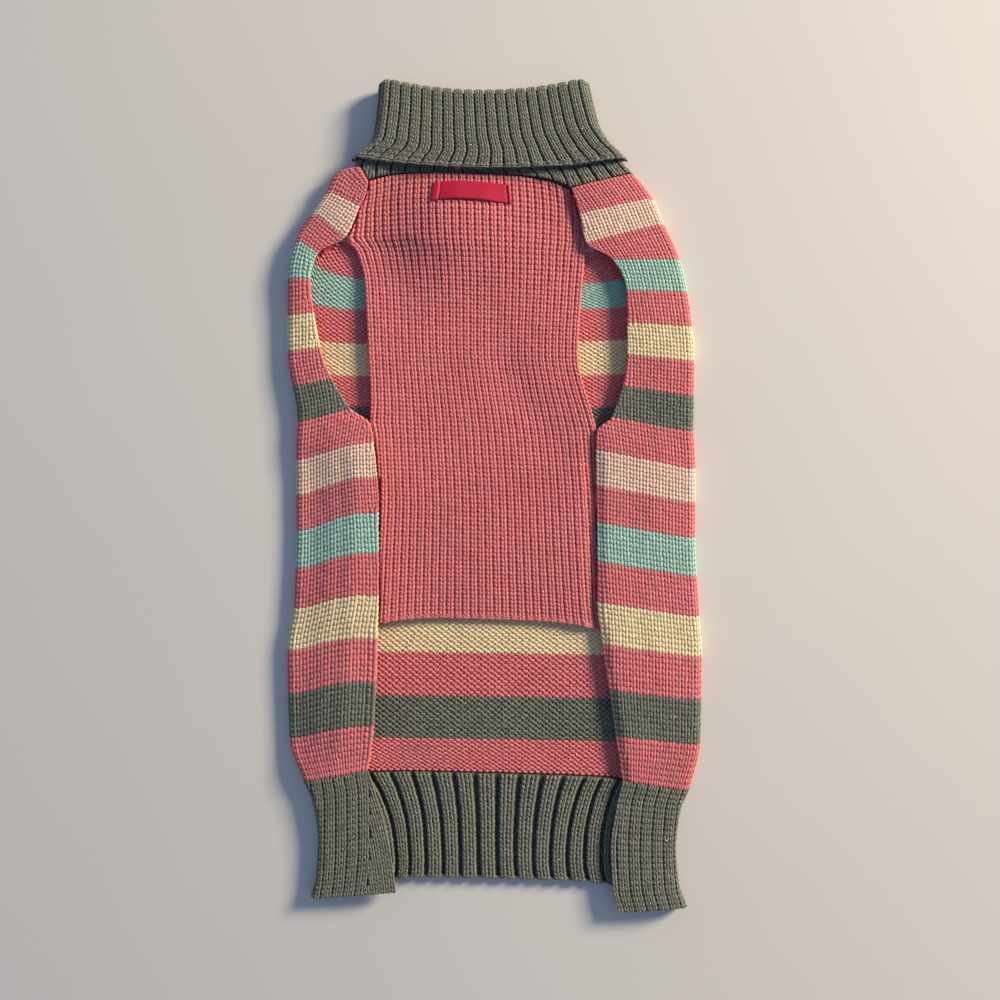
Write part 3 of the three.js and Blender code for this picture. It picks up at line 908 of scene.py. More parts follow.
def stitch_object(kind: StitchKind, gauge: Gauge) -> bpy.types.Object:
    """One stitch as a mesh, one unit wide and one high, with its height in millimetres.

    Args:
        kind: Its shape.
        gauge: Its size, which keeps the yarn round once the stitch is stretched to it.

    Returns:
        The object, which only the stitch trees use.
    """
    points, faces, uvs = [], [], []
    for path in kind.value:
        scale = np.array([gauge.wale / NOMINAL.wale, gauge.course / NOMINAL.course, 1.0])
        widths = STRAND_TAPER * gauge.yarn
        strand, quads, uv = tube(np.array(path) * scale, widths, STRAND_SIDES, STRAND_FLATNESS)
        faces.append(quads + sum(len(p) for p in points))
        points.append(strand)
        uvs.append(uv)
    flat = np.concatenate(points) / np.array([gauge.wale, gauge.course, 1.0])
    quads, corners = np.concatenate(faces), np.concatenate(uvs)
    mesh = bpy.data.meshes.new(f"{kind.name.lower()}_stitch")
    last = len(kind.value[0]) - 1
    ring = np.arange(len(quads)) // STRAND_SIDES % last
    polygons, kept = [], []
    for quad, corner, i in zip(quads, corners, ring):
        pick = (0, 1, 2) if i == 0 else (0, 1, 3) if i == last - 1 else (0, 1, 2, 3)
        polygons.append([int(quad[p]) for p in pick])
        kept.append(corner[list(pick)])
    tips = {}
    for n in range(len(kind.value)):
        first = n * (last + 1) * STRAND_SIDES
        for k in range(STRAND_SIDES):
            tips[first + k] = first
            tips[first + last * STRAND_SIDES + k] = first + last * STRAND_SIDES
    used = sorted({tips.get(p, p) for polygon in polygons for p in polygon})
    renumber = {p: i for i, p in enumerate(used)}
    corners = [[renumber[tips.get(p, p)] for p in polygon] for polygon in polygons]
    mesh.from_pydata([tuple(flat[p]) for p in used], [], corners)
    layer = mesh.uv_layers.new(name="Strand")
    layer.data.foreach_set("uv", np.concatenate(kept).astype(np.float32).ravel())
    mesh.polygons.foreach_set("use_smooth", np.ones(len(mesh.polygons), bool))
    mesh.update()
    return bpy.data.objects.new(mesh.name, mesh)


class StitchTree:
    """The geometry nodes that lay a stitch on each point of a flat chart of knitting."""

    SOCKETS = (
        ("Stitch", "NodeSocketObject", None),
        ("Yarn", "NodeSocketMaterial", None),
        ("Place Jitter", "NodeSocketFloat", 0.03),
        ("Turn Jitter", "NodeSocketFloat", 0.05),
        ("Size Jitter", "NodeSocketFloat", 0.06),
        ("Seed", "NodeSocketInt", 1),
    )

    def __init__(self) -> None:
        """Build the tree once."""
        tree = bpy.data.node_groups.new("lay_stitches", "GeometryNodeTree")
        tree.interface.new_socket("Chart", in_out="INPUT", socket_type="NodeSocketGeometry")
        tree.interface.new_socket("Knitting", in_out="OUTPUT", socket_type="NodeSocketGeometry")
        self.identifier = {}
        for name, kind, default in self.SOCKETS:
            socket = tree.interface.new_socket(name, in_out="INPUT", socket_type=kind)
            if default is not None:
                socket.default_value = default
            self.identifier[name] = socket.identifier
        self.tree = tree
        given = add_node(tree, "NodeGroupInput").outputs
        jitter = self.between(given["Place Jitter"], given["Seed"], 11)
        moved = add_node(tree, "GeometryNodeSetPosition", {"Geometry": given["Chart"], "Offset": jitter})
        tint = add_node(tree, "FunctionNodeRandomValue", {"Seed": given["Seed"]}, data_type="FLOAT")
        tinted = add_node(
            tree,
            "GeometryNodeStoreNamedAttribute",
            {"Geometry": moved.outputs[0], "Name": "tint", "Value": tint.outputs[1]},
            data_type="FLOAT",
            domain="POINT",
        )
        turn = self.between(given["Turn Jitter"], given["Seed"], 23)
        only_z = add_node(tree, "ShaderNodeVectorMath", {0: turn, 1: (0, 0, 1)}, operation="MULTIPLY")
        rotation = add_node(tree, "FunctionNodeEulerToRotation", {0: only_z.outputs[0]})
        size = self.between(given["Size Jitter"], given["Seed"], 37)
        scale = add_node(tree, "ShaderNodeVectorMath", {0: size, 1: (1, 1, 1)}, operation="ADD")
        stitch = add_node(tree, "GeometryNodeObjectInfo", {"Object": given["Stitch"]})
        laid = add_node(
            tree,
            "GeometryNodeInstanceOnPoints",
            {
                "Points": tinted.outputs[0],
                "Instance": stitch.outputs["Geometry"],
                "Rotation": rotation.outputs[0],
                "Scale": scale.outputs[0],
            },
        )
        real = add_node(tree, "GeometryNodeRealizeInstances", {"Geometry": laid.outputs[0]})
        dressed = add_node(
            tree, "GeometryNodeSetMaterial", {"Geometry": real.outputs[0], "Material": given["Yarn"]}
        )
        add_node(tree, "NodeGroupOutput", {0: dressed.outputs[0]})

    def between(self, reach: Socket, seed: Socket, shift: int) -> Socket:
        """A random vector between minus reach and reach, from the seed moved by shift."""
        least = add_node(self.tree, "ShaderNodeMath", {0: reach, 1: -1.0}, operation="MULTIPLY")
        own_seed = add_node(self.tree, "ShaderNodeMath", {0: seed, 1: float(shift)}, operation="ADD")
        chosen = add_node(
            self.tree,
            "FunctionNodeRandomValue",
            {0: least.outputs[0], 1: reach, "Seed": own_seed.outputs[0]},
            data_type="FLOAT_VECTOR",
        )
        return chosen.outputs[0]

    def knit(
        self,
        name: str,
        chart: Array,
        stitch: bpy.types.Object,
        wrap: Callable[[Array, Array], Array],
        materials: Sequence[bpy.types.Material],
        yarn: Array | int,
        seed: int,
    ) -> bpy.types.Object:
        """Lay stitches on a flat chart and wrap them on to their cloth.

        Args:
            name: The piece's name.
            chart: A row for each stitch: its wale and its course.
            stitch: The stitch's mesh, one unit each way.
            wrap: Gives a point for each flat point and the chart row that it belongs to.
            materials: The piece's material slots.
            yarn: Each stitch's slot, or a row of its strands' slots.
            seed: Seed of the small differences between stitches.

        Returns:
            The knitted piece.
        """
        flat = bpy.data.meshes.new(name)
        flat.from_pydata([(wale, course, 0.0) for wale, course in chart], [], [])
        piece = bpy.data.objects.new(name, flat)
        bpy.context.scene.collection.objects.link(piece)
        modifier = piece.modifiers.new("stitches", "NODES")
        modifier.node_group = self.tree
        modifier[self.identifier["Stitch"]] = stitch
        modifier[self.identifier["Yarn"]] = materials[0]
        modifier[self.identifier["Seed"]] = seed
        graph = bpy.context.evaluated_depsgraph_get()
        mesh = bpy.data.meshes.new_from_object(piece.evaluated_get(graph), depsgraph=graph)
        piece.modifiers.remove(modifier)
        piece.data = mesh
        bpy.data.meshes.remove(flat)
        mesh.name = name
        count = len(mesh.vertices)
        points = np.empty(count * 3)
        mesh.vertices.foreach_get("co", points)
        points = points.reshape(-1, 3)
        each = len(stitch.data.vertices)
        rows = chart[np.arange(count) // each]
        top = points[:, 2].max()
        mesh.vertices.foreach_set("co", (wrap(points, rows) * MM).ravel())
        # Each point's height in its stitch, from which the yarn materials paint shade low on the stitches.
        height = mesh.attributes.new("yarn_height", "FLOAT", "POINT")
        height.data.foreach_set("value", (points[:, 2] / top).astype(np.float32))
        mesh.materials.clear()
        for material in materials:
            mesh.materials.append(material)
        slots = np.asarray(yarn, np.int32)
        if slots.ndim < 2:
            slots = np.broadcast_to(slots, len(chart))[:, None]
        faces_each = len(stitch.data.polygons) // slots.shape[1]
        mesh.polygons.foreach_set("material_index", np.repeat(slots.ravel(), faces_each))
        mesh.update()
        LOG.info("%s: %d stitches, %d faces", name, len(chart), len(mesh.polygons))
        return piece


def dress(piece: bpy.types.Object, slot: str, *nodes: str) -> bpy.types.Object:
    """Ride a piece on the sweater's one body, and hide the nodes it stands for."""
    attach(piece, "root")
    if nodes:
        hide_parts(*nodes)
    return piece


# How deep the ground cloth and the stitches' own base lie under the outer face of their piece.
STITCH_DEPTH, STITCH_SINK = 0.25, 0.35


def chart_of(columns: Array, courses: Array) -> Array:
    """A row for each stitch of a chart: its column and its course."""
    return np.stack([grid.ravel() for grid in np.meshgrid(columns, courses)], axis=1)


def bound_edge(
    stitches: StitchTree,
    name: str,
    count: int,
    place: Callable[[Array, Array, Array], Array],
    material: bpy.types.Material,
    slot: str,
    seed: int,
) -> bpy.types.Object:
    """Lay the chain of bound off stitches along an edge.

    Args:
        stitches: The tree that lays them.
        name: The piece's name.
        count: How many there are.
        place: Gives points from their share of the edge, their place across the chain from -0.5 to 0.5,
            and their height.
        material: Their yarn.
        slot: The piece's material slot, which is not used.
        seed: Seed of the small differences between them.

    Returns:
        The chain.
    """
    chart = np.stack([np.full(count, 0.5), np.arange(count) + 0.5], axis=1)

    def wrap(points: Array, rows: Array) -> Array:
        return place(np.clip(points[:, 1] / count, 0, 1), points[:, 0] - 0.5, points[:, 2])

    stitch = stitch_object(StitchKind.KNIT, Gauge(2.4, 2.3, 0.62))
    return dress(stitches.knit(name, chart, stitch, wrap, [material], 0, seed), slot)


@dataclass
class Knitted:
    """A knitted piece of the sweater.

    Attributes:
        finishes: The sweater's materials.
        stitches: The tree that lays stitches.
    """

    finishes: Finishes
    stitches: StitchTree


@dataclass
class StripedPanel(Knitted):
    """The back panel: smooth knit in colour stripes, wrapped round both sides on to the front.

    Attributes:
        courses_per_stripe: Rows of stitches in a stripe.
        wales_round_fold: Columns of stitches laid round each fold.
        wales_across_back: Columns of stitches across the back.
        wall: Thickness of the cloth in millimetres.
        flat: Width and length of the cut, in metres; not used.
    """

    courses_per_stripe: int = 8
    wales_round_fold: int = 3
    wales_across_back: int = 58
    wall: float = 2.0
    flat: tuple[float, float] = (0.282, 0.286)

    # Width of a wale on each side. It narrows at the hem band, where the cloth is gathered.
    wale_width: ClassVar[dict[Side, Table]] = {
        Side.LEFT: Table("line wale", [(0, 3.2), (8.3, 3.15), (9, 3.02), (14, 3.5), (16, 3.25), (17, 2.45)]),
        Side.RIGHT: Table("line wale", [(0, 3.2), (8.3, 3.15), (9, 3.1), (14, 3.1), (16, 2.85), (17, 2.35)]),
    }

    def __post_init__(self) -> None:
        """Make its stitches."""
        self.knit = stitch_object(StitchKind.KNIT, NOMINAL)
        self.purl = stitch_object(StitchKind.PURL, Gauge(3.2, 2.35, 0.84))

    def wales_on(self, side: Side, line: Array) -> Array:
        """How many wales fit on the front layer on each line."""
        return np.maximum(1, np.round(BACK_CLOTH.run(side, line) / self.wale_width[side]("wale", line)))

    def inwards(self, side: Side, wale: Array, line: Array, stitch_line: Array) -> Array:
        """Distance from the fold of a place counted in wales, where the last wale fills up to the edge.

        Args:
            side: The side of the garment.
            wale: Wales from the top of the fold, below 0 round it.
            line: The line of each point.
            stitch_line: The line of the stitch that it belongs to.

        Returns:
            The distance in millimetres.
        """
        width = self.wale_width[side]("wale", line)
        whole = self.wales_on(side, stitch_line) - 1
        rest = BACK_CLOTH.run(side, line) - whole * width
        return np.where(wale > whole, whole * width + (wale - whole) * rest, wale * width)

    def ground(self) -> bpy.types.Object:
        """The cloth under the stitches, in one closed shell."""
        lines = np.arange(0, HEM_LINE + 0.001, 0.25)
        columns = []
        for side, order in ((Side.LEFT, 1), (Side.RIGHT, -1)):
            run = [(side, "flat", share) for share in np.linspace(0.985, 0, 19)]
            fold = [(side, "fold", turn) for turn in np.linspace(0, math.pi, 11)[1:-1]]
            columns.append((run + fold)[::order])
        back = [(None, "back", share) for share in np.linspace(0, 1, 49)]
        section = columns[0] + back + columns[1]
        outer = np.stack([self.section_point(c, lines, STITCH_DEPTH) for c in section], axis=1)
        inner = np.stack([self.section_point(c, lines, self.wall) for c in section], axis=1)
        points, faces = shell(outer, inner)
        rows, count = len(lines) - 1, len(section) - 1
        row = np.repeat(np.arange(rows), count)
        column = np.tile(np.arange(count), rows)
        yarn = yarn_of_line(lines[row] + 0.01)
        under = np.array([c[1] == "back" or (c[1] == "fold" and c[2] > 2.2) for c in section])[column]
        # Faces under the stitches take the ground materials, with their painted shade; faces on the table take the
        # knit face.
        materials = self.finishes.ground + self.finishes.knit_face
        rims = len(faces) - 2 * rows * count
        slots = np.concatenate([yarn + len(YARNS) * under, yarn, np.full(rims, 0)])
        uv = self.fabric_uv(faces, len(section), len(lines), lines)
        piece = mesh_object("back_panel_ground", points, faces, materials, slots, uv)
        return dress(piece, "striped_knit", "back_panel")

    def section_point(self, column: tuple, lines: Array, depth: float) -> Array:
        """Points of one column of the section, at a depth under the outer face."""
        side, part, value = column
        if part == "back":
            lift = 0.0 if depth == STITCH_DEPTH else depth
            return BACK_CLOTH.back(np.full_like(lines, value), lines, lift)
        sign = side.value
        if part == "flat":
            inwards = value * BACK_CLOTH.run(side, lines)
            surface = partial(BACK_CLOTH.front, side)
            return raised(surface, inwards, lines, np.full_like(lines, -depth), 0.2, 0.02, sign)
        radius = BACK_CLOTH.fold_radius(lines)
        lift = depth * smoothstep(math.pi, 2.2, value) if depth == STITCH_DEPTH else depth
        place = BACK_CLOTH.front(side, -radius * value, lines)
        place[:, 0] -= sign * lift * math.sin(value)
        place[:, 2] -= lift * math.cos(value)
        return place

    def fabric_uv(self, faces: Array, columns: int, rows: int, lines: Array) -> Array:
        """Each corner's place on the flat cloth, in wales and courses."""
        number = faces % (columns * rows)
        across = number % columns / (columns - 1) * (self.wales_across_back + 2 * 14)
        return np.stack([across, lines[number // columns] * self.courses_per_stripe], axis=-1)

    def front_chart(self, side: Side) -> Array:
        """A row for each stitch of one side's front layer and fold: its wale from the fold and its course."""
        rows = []
        for course in range(int(HEM_LINE * self.courses_per_stripe)):
            line = np.array([(course + 0.5) / self.courses_per_stripe])
            wales = np.arange(-self.wales_round_fold, int(self.wales_on(side, line)[0])) + 0.5
            rows.append(np.stack([wales, np.full_like(wales, course + 0.5)], axis=1))
        return np.concatenate(rows)

    def front(self, side: Side) -> bpy.types.Object:
        """The stitches of one side's front layer and fold."""

        def wrap(points: Array, rows: Array) -> Array:
            course = points[:, 1]
            stitch_line = rows[:, 1] / self.courses_per_stripe
            line = np.clip(course / self.courses_per_stripe, 0, HEM_LINE)
            inwards = self.inwards(side, points[:, 0], line, stitch_line)
            height = points[:, 2] - STITCH_SINK
            place = raised(partial(BACK_CLOTH.front, side), inwards, line, height, 0.15, 0.02, side.value)
            place[:, 1] -= 2.2 * np.maximum(course - HEM_LINE * self.courses_per_stripe, 0)
            place[:, 2] = np.maximum(place[:, 2], 0.02)
            return place

        chart = self.front_chart(side)
        yarn = yarn_of_line(chart[:, 1] / self.courses_per_stripe)
        name = f"back_panel_knit_{side.name.lower()}"
        piece = self.stitches.knit(name, chart, self.knit, wrap, self.finishes.stitches, yarn, 3 + side.value)
        return dress(piece, "striped_knit")

    def inside_chart(self) -> Array:
        """A row for each purl bump that shows inside the sweater: its wale and its course."""
        wales = np.arange(self.wales_across_back) + 0.5
        courses = np.arange(int(HEM_LINE * self.courses_per_stripe)) + 0.5
        wale, course = chart_of(wales, courses).T
        line = course / self.courses_per_stripe
        place = BACK_CLOTH.back(wale / self.wales_across_back, line)
        # The front edges at the same height up the garment, which isn't quite the same line of knitting.
        front_line = np.clip(line - 0.45, 0, HEM_LINE)
        left, right = BACK_LINES("edgeLX", front_line), BACK_LINES("edgeRX", front_line)
        x = place[:, 0]
        margin = 9.0
        between = (x > left - margin) & (x < right + margin)
        beside_belly = (x < BELLY_EDGES("leftX", line) + margin) | (x > BELLY_EDGES("rightX", line) - margin)
        leg_holes = (line > 1.6) & (line < 9.4) & beside_belly
        below_belly = line > BELLY_LAST_LINE - 1.2
        return np.stack([wale, course], axis=1)[between & (leg_holes | below_belly)]

    def inside(self) -> bpy.types.Object:
        """The purl bumps of the inside, where it shows in the leg holes and below the belly panel."""

        def wrap(points: Array, rows: Array) -> Array:
            share = np.clip(points[:, 0] / self.wales_across_back, 0, 1)
            line = np.clip(points[:, 1] / self.courses_per_stripe, 0, HEM_LINE)
            place = BACK_CLOTH.back(share, line, self.wall)
            place[:, 2] += points[:, 2] + 0.05
            return place

        chart = self.inside_chart()
        # The upper loops of each bump belong to the course before it, so two colours mix where they meet.
        heads, feet = ((chart[:, 1] - back) / self.courses_per_stripe for back in (0, 1))
        yarn = np.stack([yarn_of_line(heads), yarn_of_line(feet)], axis=1)
        piece = self.stitches.knit("back_panel_purl", chart, self.purl, wrap, self.finishes.stitches, yarn, 7)
        return dress(piece, "striped_knit")

    def build(self) -> None:
        """Make the panel's cloth and stitches."""
        ground = self.ground()
        knitting = [self.front(Side.LEFT), self.front(Side.RIGHT), self.inside()]


@dataclass
class BellyPanel(Knitted):
    """The belly panel: pink one by one rib, sewn in at the shoulders and below the leg holes.

    Attributes:
        courses: Rows of stitches.
        wall: Thickness of the cloth in millimetres.
        flat: Width and length of the cut, in metres; not used.
        gauge: Size of a stitch.
        valley: Depth of the valleys between ribs on each line.
    """

    courses: int = 97
    wall: float = 2.2
    flat: tuple[float, float] = (0.108, 0.212)
    gauge: Gauge = Gauge(wale=3.3, course=2.2, yarn=0.8)
    valley: Table = Table("line depth", [(0, 0.85), (3, 0.65), (5, 0.32), (9, 0.35), (14, 0.55)])

    def __post_init__(self) -> None:
        """Make its stitches."""
        self.knit = stitch_object(StitchKind.KNIT, self.gauge)

    def surface(self, rib: Array, line: Array) -> Array:
        """The ridged outer face: each rib is a ridge between two valleys."""
        share = belly_share(rib, line)
        inside = np.clip(share, 0.003, 0.997)
        point = belly_point(inside, line)
        point[..., 2] -= self.valley("depth", line) * (1 - np.abs(np.sin(math.pi * rib)))
        point[..., 0] += (share - inside) * 6
        point[..., 2] -= np.minimum(np.abs(share - inside) * 60, 1.2)
        return point

    def ground(self) -> bpy.types.Object:
        """The cloth under the stitches, in one closed shell."""
        lines = np.concatenate([np.arange(0, BELLY_LAST_LINE, 0.25), [BELLY_LAST_LINE]])
        share, line = np.meshgrid(np.linspace(0.006, 0.994, BELLY_RIBS * 2 + 1), lines)
        outer, inner = belly_point(share, line), belly_point(share, line)
        outer[..., 2] -= STITCH_DEPTH + self.valley("depth", line)
        inner[..., 2] -= self.wall
        points, faces = shell(outer, inner)
        # The ground material paints the shade between the rib's stitches.
        material = self.finishes.ground[YARNS.index(PINK)]
        piece = mesh_object("belly_panel_ground", points, faces, [material])
        return dress(piece, "pink_rib", "belly_panel")

    def knitting(self) -> bpy.types.Object:
        """The knit column on each rib."""
        ribs = np.arange(BELLY_RIBS) + 0.5
        chart = chart_of(ribs, np.arange(self.courses) + 0.5)
        line = belly_line(chart[:, 1] / self.courses)
        left, right = (belly_share(chart[:, 0] + aside, line) for aside in (-0.4, 0.4))
        chart = chart[(right > 0.004) & (left < 0.996)]

        def wrap(points: Array, rows: Array) -> Array:
            rib = rows[:, 0] + (points[:, 0] - rows[:, 0]) * 0.92
            line = belly_line(points[:, 1] / self.courses)
            return raised(self.surface, rib, line, points[:, 2] - STITCH_SINK, 0.05, 0.02, -1)

        material = self.finishes.of_yarn(PINK)
        piece = self.stitches.knit("belly_panel_rib", chart, self.knit, wrap, [material], 0, 13)
        return dress(piece, "pink_rib")

    def edge(self) -> bpy.types.Object:
        """The bound off chain along the panel's free lower edge."""

        def place(share: Array, aside: Array, height: Array) -> Array:
            rib = lerp(2.0, BELLY_RIBS - 2.0, share)
            line = BELLY_LAST_LINE - 0.06 + aside * 0.13
            return raised(self.surface, rib, line, height - 0.25, 0.05, 0.02, -1)

        material = self.finishes.of_yarn(PINK)
        return bound_edge(self.stitches, "belly_panel_edge", 42, place, material, "pink_rib", 43)

    def build(self) -> None:
        """Make the panel's cloth and stitches."""
        ground = self.ground()
        pieces = [self.knitting(), self.edge(), SewingEnd().build(self.finishes.of_yarn(PINK))]


@dataclass
class SewingEnd:
    """The knotted end of pink sewing yarn that peeps out under the turned down collar.

    Attributes:
        yarn: Half the yarn's width in millimetres.
        loops: Points that each loop passes through, in millimetres.
    """

    yarn: float = 0.55
    loops: tuple = (
        (
            (-17.2, 157.6, 8.4), (-18.4, 155.2, 9.6), (-17.2, 153.4, 9.9), (-15.6, 154.6, 9.8), (-16.4, 157.2, 8.6),
        ),
        ((-15.4, 157.8, 8.4), (-14.2, 155.6, 9.5), (-13, 154, 9.7), (-12.4, 155.8, 9.4), (-13.8, 157.8, 8.4)),
        ((-14.6, 156.4, 8.8), (-11, 154.4, 9.2), (-7.4, 153.6, 8.9), (-4.2, 153.9, 8.4), (-2.6, 155, 7.9)),
        ((-18, 156.6, 8.8), (-16.4, 155.9, 9.9), (-14.6, 155.3, 10.1), (-13, 155.9, 9.8), (-12.2, 157, 8.8)),
    )

    def build(self, yarn: bpy.types.Material) -> bpy.types.Object:
        """Make its loops in the yarn's material."""
        points, faces = [], []
        for loop in self.loops:
            rows = np.array(loop)
            at = np.linspace(0, len(rows) - 1, 25)
            path = np.stack([Curve(np.arange(len(rows)), rows[:, axis])(at) for axis in range(3)], axis=1)
            widths = self.yarn * np.clip(np.minimum(at, at[-1] - at) * 6, 0, 1)
            strand, quads, _ = tube(path, widths, 8)
            faces.append(quads + sum(len(p) for p in points))
            points.append(strand)
        piece = mesh_object("sewing_yarn_end", np.concatenate(points), np.concatenate(faces), [yarn])
        return dress(piece, "pink_rib")


def rib_height(rib: Array, width: float = 0.98) -> Array:
    """Height of a two by two rib's rounded ridge, from 0 in the valley at whole numbers to 1."""
    across = np.abs(rib - np.floor(rib) - 0.5) / 0.5
    return np.sqrt(np.clip(1 - (across / width) ** 3.4, 0, 1))


# Where each rib's two columns of stitches lie across it, and how much of it each takes.
RIB_COLUMNS = (0.29, 0.71)
COLUMN_WIDTH = 0.42


@dataclass
class HemBand(Knitted):
    """The grey two by two rib band, folded on to the front at both sides.

    Attributes:
        side_ribs: Ribs on each folded side.
        fold_ribs: Ribs round each fold.
        middle_ribs: First and last furrow of the middle.
        courses: Rows of stitches.
        rib: Height of the middle's ribs in millimetres.
        rib_width: Width of the middle's ribs as a share of their spacing.
        middle_columns: Where a middle rib's columns of stitches lie across it.
        middle_column: Width of such a column as a share of the rib.
        side_rib: Height of the sides' ribs in millimetres.
        side_rib_width: Width of the sides' ribs in millimetres.
        side_columns: Where a side rib's columns lie across it.
        side_column_width: Width of such a column as a share of the rib.
        flare: Number that the flare's columns are counted from in a chart.
        flare_column: Width of the flare's columns in millimetres.
        wall: Thickness of the cloth in millimetres.
        flat: Width and length of the cut, in metres; not used.
    """

    side_ribs: int = 5
    fold_ribs: int = 2
    middle_ribs: tuple[int, int] = (-1, 13)
    courses: int = 23
    rib: float = 1.8
    rib_width: float = 0.88
    middle_columns: tuple[float, float] = (0.31, 0.69)
    middle_column: float = 0.37
    side_rib: float = 0.7
    side_rib_width: float = 5.4
    side_columns: tuple[float, float] = (0.275, 0.725)
    side_column_width: float = 0.45
    flare: int = 100
    flare_column: float = 2.45
    wall: float = 2.0
    flat: tuple[float, float] = (0.268, 0.056)

    # How far the sides' ribs stand from the fold, past their place at the seam.
    shift: ClassVar[dict[Side, Table]] = {
        Side.LEFT: Table("line shift", [(0, 0), (0.18, -3.0), (0.5, -5.8), (0.8, -5.6), (1, -4.4)]),
        Side.RIGHT: Table("line shift", [(0, 0), (0.18, -1.4), (0.5, -2.5), (0.8, -1.8), (1, -0.5)]),
    }

    # The furrows between the middle's ribs, as shares of its width at the seam and at the free edge.
    furrows: Table = Table(
        "rib seam free",
        [
            (-1, 0.105, 0.165),
            (0, 0.159, 0.214),
            (1, 0.214, 0.250),
            (2, 0.272, 0.296),
            (3, 0.326, 0.345),
            (4, 0.384, 0.393),
            (5, 0.442, 0.445),
            (6, 0.503, 0.498),
            (7, 0.563, 0.549),
            (8, 0.626, 0.601),
            (9, 0.683, 0.649),
            (10, 0.740, 0.696),
            (11, 0.786, 0.747),
            (12, 0.834, 0.796),
            (13, 0.885, 0.845),
        ],
    )

    def __post_init__(self) -> None:
        """Make its stitches."""
        self.knit = {
            "side": stitch_object(StitchKind.KNIT, Gauge(2.5, 2.35, 0.64)),
            "middle": stitch_object(StitchKind.KNIT, Gauge(3.4, 2.35, 0.76)),
        }

    def inwards(self, side: Side, rib: Array, line: Array) -> Array:
        """Distance from the fold of a place counted in ribs from the last one, which is plain below 0."""
        return (self.side_ribs - rib) * self.side_rib_width + self.shift[side]("shift", line)

    def side_surface(self, side: Side) -> Surface:
        """The ribbed outer face of one side, by its distance from the fold, and by line."""

        def ribbed(inwards: Array, line: Array) -> Array:
            rib = self.side_ribs - (inwards - self.shift[side]("shift", line)) / self.side_rib_width
            fade = smoothstep(-9.0, -4.0, inwards) * smoothstep(-0.1, 0.6, rib)
            depth = self.side_rib * (1 - rib_height(rib)) * fade
            return raised(partial(HEM_CLOTH.front, side), inwards, line, -depth, 0.15, 0.004, side.value)

        return ribbed

    def middle_share(self, rib: Array, line: Array) -> Array:
        """The share of the middle's width at which a place counted in ribs lies on each line."""
        down = 1 - (1 - np.clip(line, 0, 1)) ** 1.5
        return lerp(self.furrows("seam", rib), self.furrows("free", rib), down)

    def middle_surface(self, rib: Array, line: Array) -> Array:
        """The ribbed inside of the band's middle, by ribs from its left, and by line."""
        point = HEM_CLOTH.back(self.middle_share(rib, line), line, self.wall)
        point[..., 2] += 0.2 + (self.rib - 0.2) * rib_height(rib, self.rib_width)
        return point

    def ground(self) -> bpy.types.Object:
        """The cloth under the stitches, in one closed shell."""
        lines = np.linspace(0, 1, 25)
        full = np.ones_like(lines)
        per_rib = 8
        outer, inner = [], []
        fold = math.pi * float(HEM_CLOTH.fold_radius(full)[0])
        for side in Side:
            surface = self.side_surface(side)
            parts = []
            flat = [HEM_CLOTH.run(side, lines) * share for share in np.linspace(0.985, 0, 45)]
            for at in flat + [full * -past for past in np.linspace(0, fold, 16)[1:-1]]:
                depth = STITCH_DEPTH * smoothstep(-fold, -6.0, at[0])
                out = raised(surface, at, lines, full * -depth, 0.15, 0.004, side.value)
                smooth = partial(HEM_CLOTH.front, side)
                inn = raised(smooth, at, lines, full * -self.wall, 0.15, 0.004, side.value)
                parts.append((out, inn))
            if side is Side.RIGHT:
                parts.reverse()
            outer.append([p[0] for p in parts])
            inner.append([p[1] for p in parts])
        first, last = self.middle_ribs
        ribs = np.linspace(first, last, (last - first) * per_rib + 1)
        low, high = self.middle_share(full * first, lines), self.middle_share(full * last, lines)
        middle = [(low * share, first) for share in np.linspace(0, 1, 5)[:-1]]
        middle += [(self.middle_share(full * rib, lines), rib) for rib in ribs]
        middle += [(lerp(high, 1, share), last) for share in np.linspace(0, 1, 5)[1:]]
        middle_outer = [HEM_CLOTH.back(share, lines) for share, _ in middle]
        middle_inner = []
        for share, rib in middle:
            point = HEM_CLOTH.back(share, lines, self.wall)
            ridge = float(rib_height(np.array(rib), self.rib_width))
            point[:, 2] += max(0.2 + (self.rib - 0.2) * ridge - STITCH_DEPTH, 0)
            middle_inner.append(point)
        out = np.stack(outer[0] + middle_outer + outer[1], axis=1)
        inn = np.stack(inner[0] + middle_inner + inner[1], axis=1)
        points, faces = shell(out, inn)
        # The grey ground material is near black: painted shade in the rib furrows.
        material = self.finishes.ground[YARNS.index(GREY)]
        piece = mesh_object("hem_band_ground", points, faces, [material])
        return dress(piece, "grey_rib", "hem_band")

    def chart(self, first: int, last: int, places: tuple = RIB_COLUMNS) -> Array:
        """A row for each stitch from one rib to another: the place of its column in ribs, and its course."""
        columns = np.array([rib + at for rib in range(first, last) for at in places])
        return chart_of(columns, np.arange(self.courses) + 0.5)

    def side(self, side: Side) -> list[bpy.types.Object]:
        """The knit columns of one folded side, and of its flare, which run along the free edge."""
        surface = self.side_surface(side)

        def wrap(points: Array, rows: Array) -> Array:
            line = np.clip(points[:, 1] / self.courses, 0, 1)
            rib = rows[:, 0] + (points[:, 0] - rows[:, 0]) * self.side_column_width
            run = HEM_CLOTH.run(side, line)
            beside_edge = run - (points[:, 0] - self.flare) * self.flare_column
            inwards = np.where(rows[:, 0] > self.flare, beside_edge, self.inwards(side, rib, line))
            inwards = np.minimum(inwards, run - 0.1)
            height = points[:, 2] - STITCH_SINK
            place = raised(surface, inwards, line, height, 0.15, 0.004, side.value)
            place[:, 1] += 1.6 * np.maximum(-points[:, 1], 0)
            place[:, 2] = np.maximum(place[:, 2], 0.02)
            return place

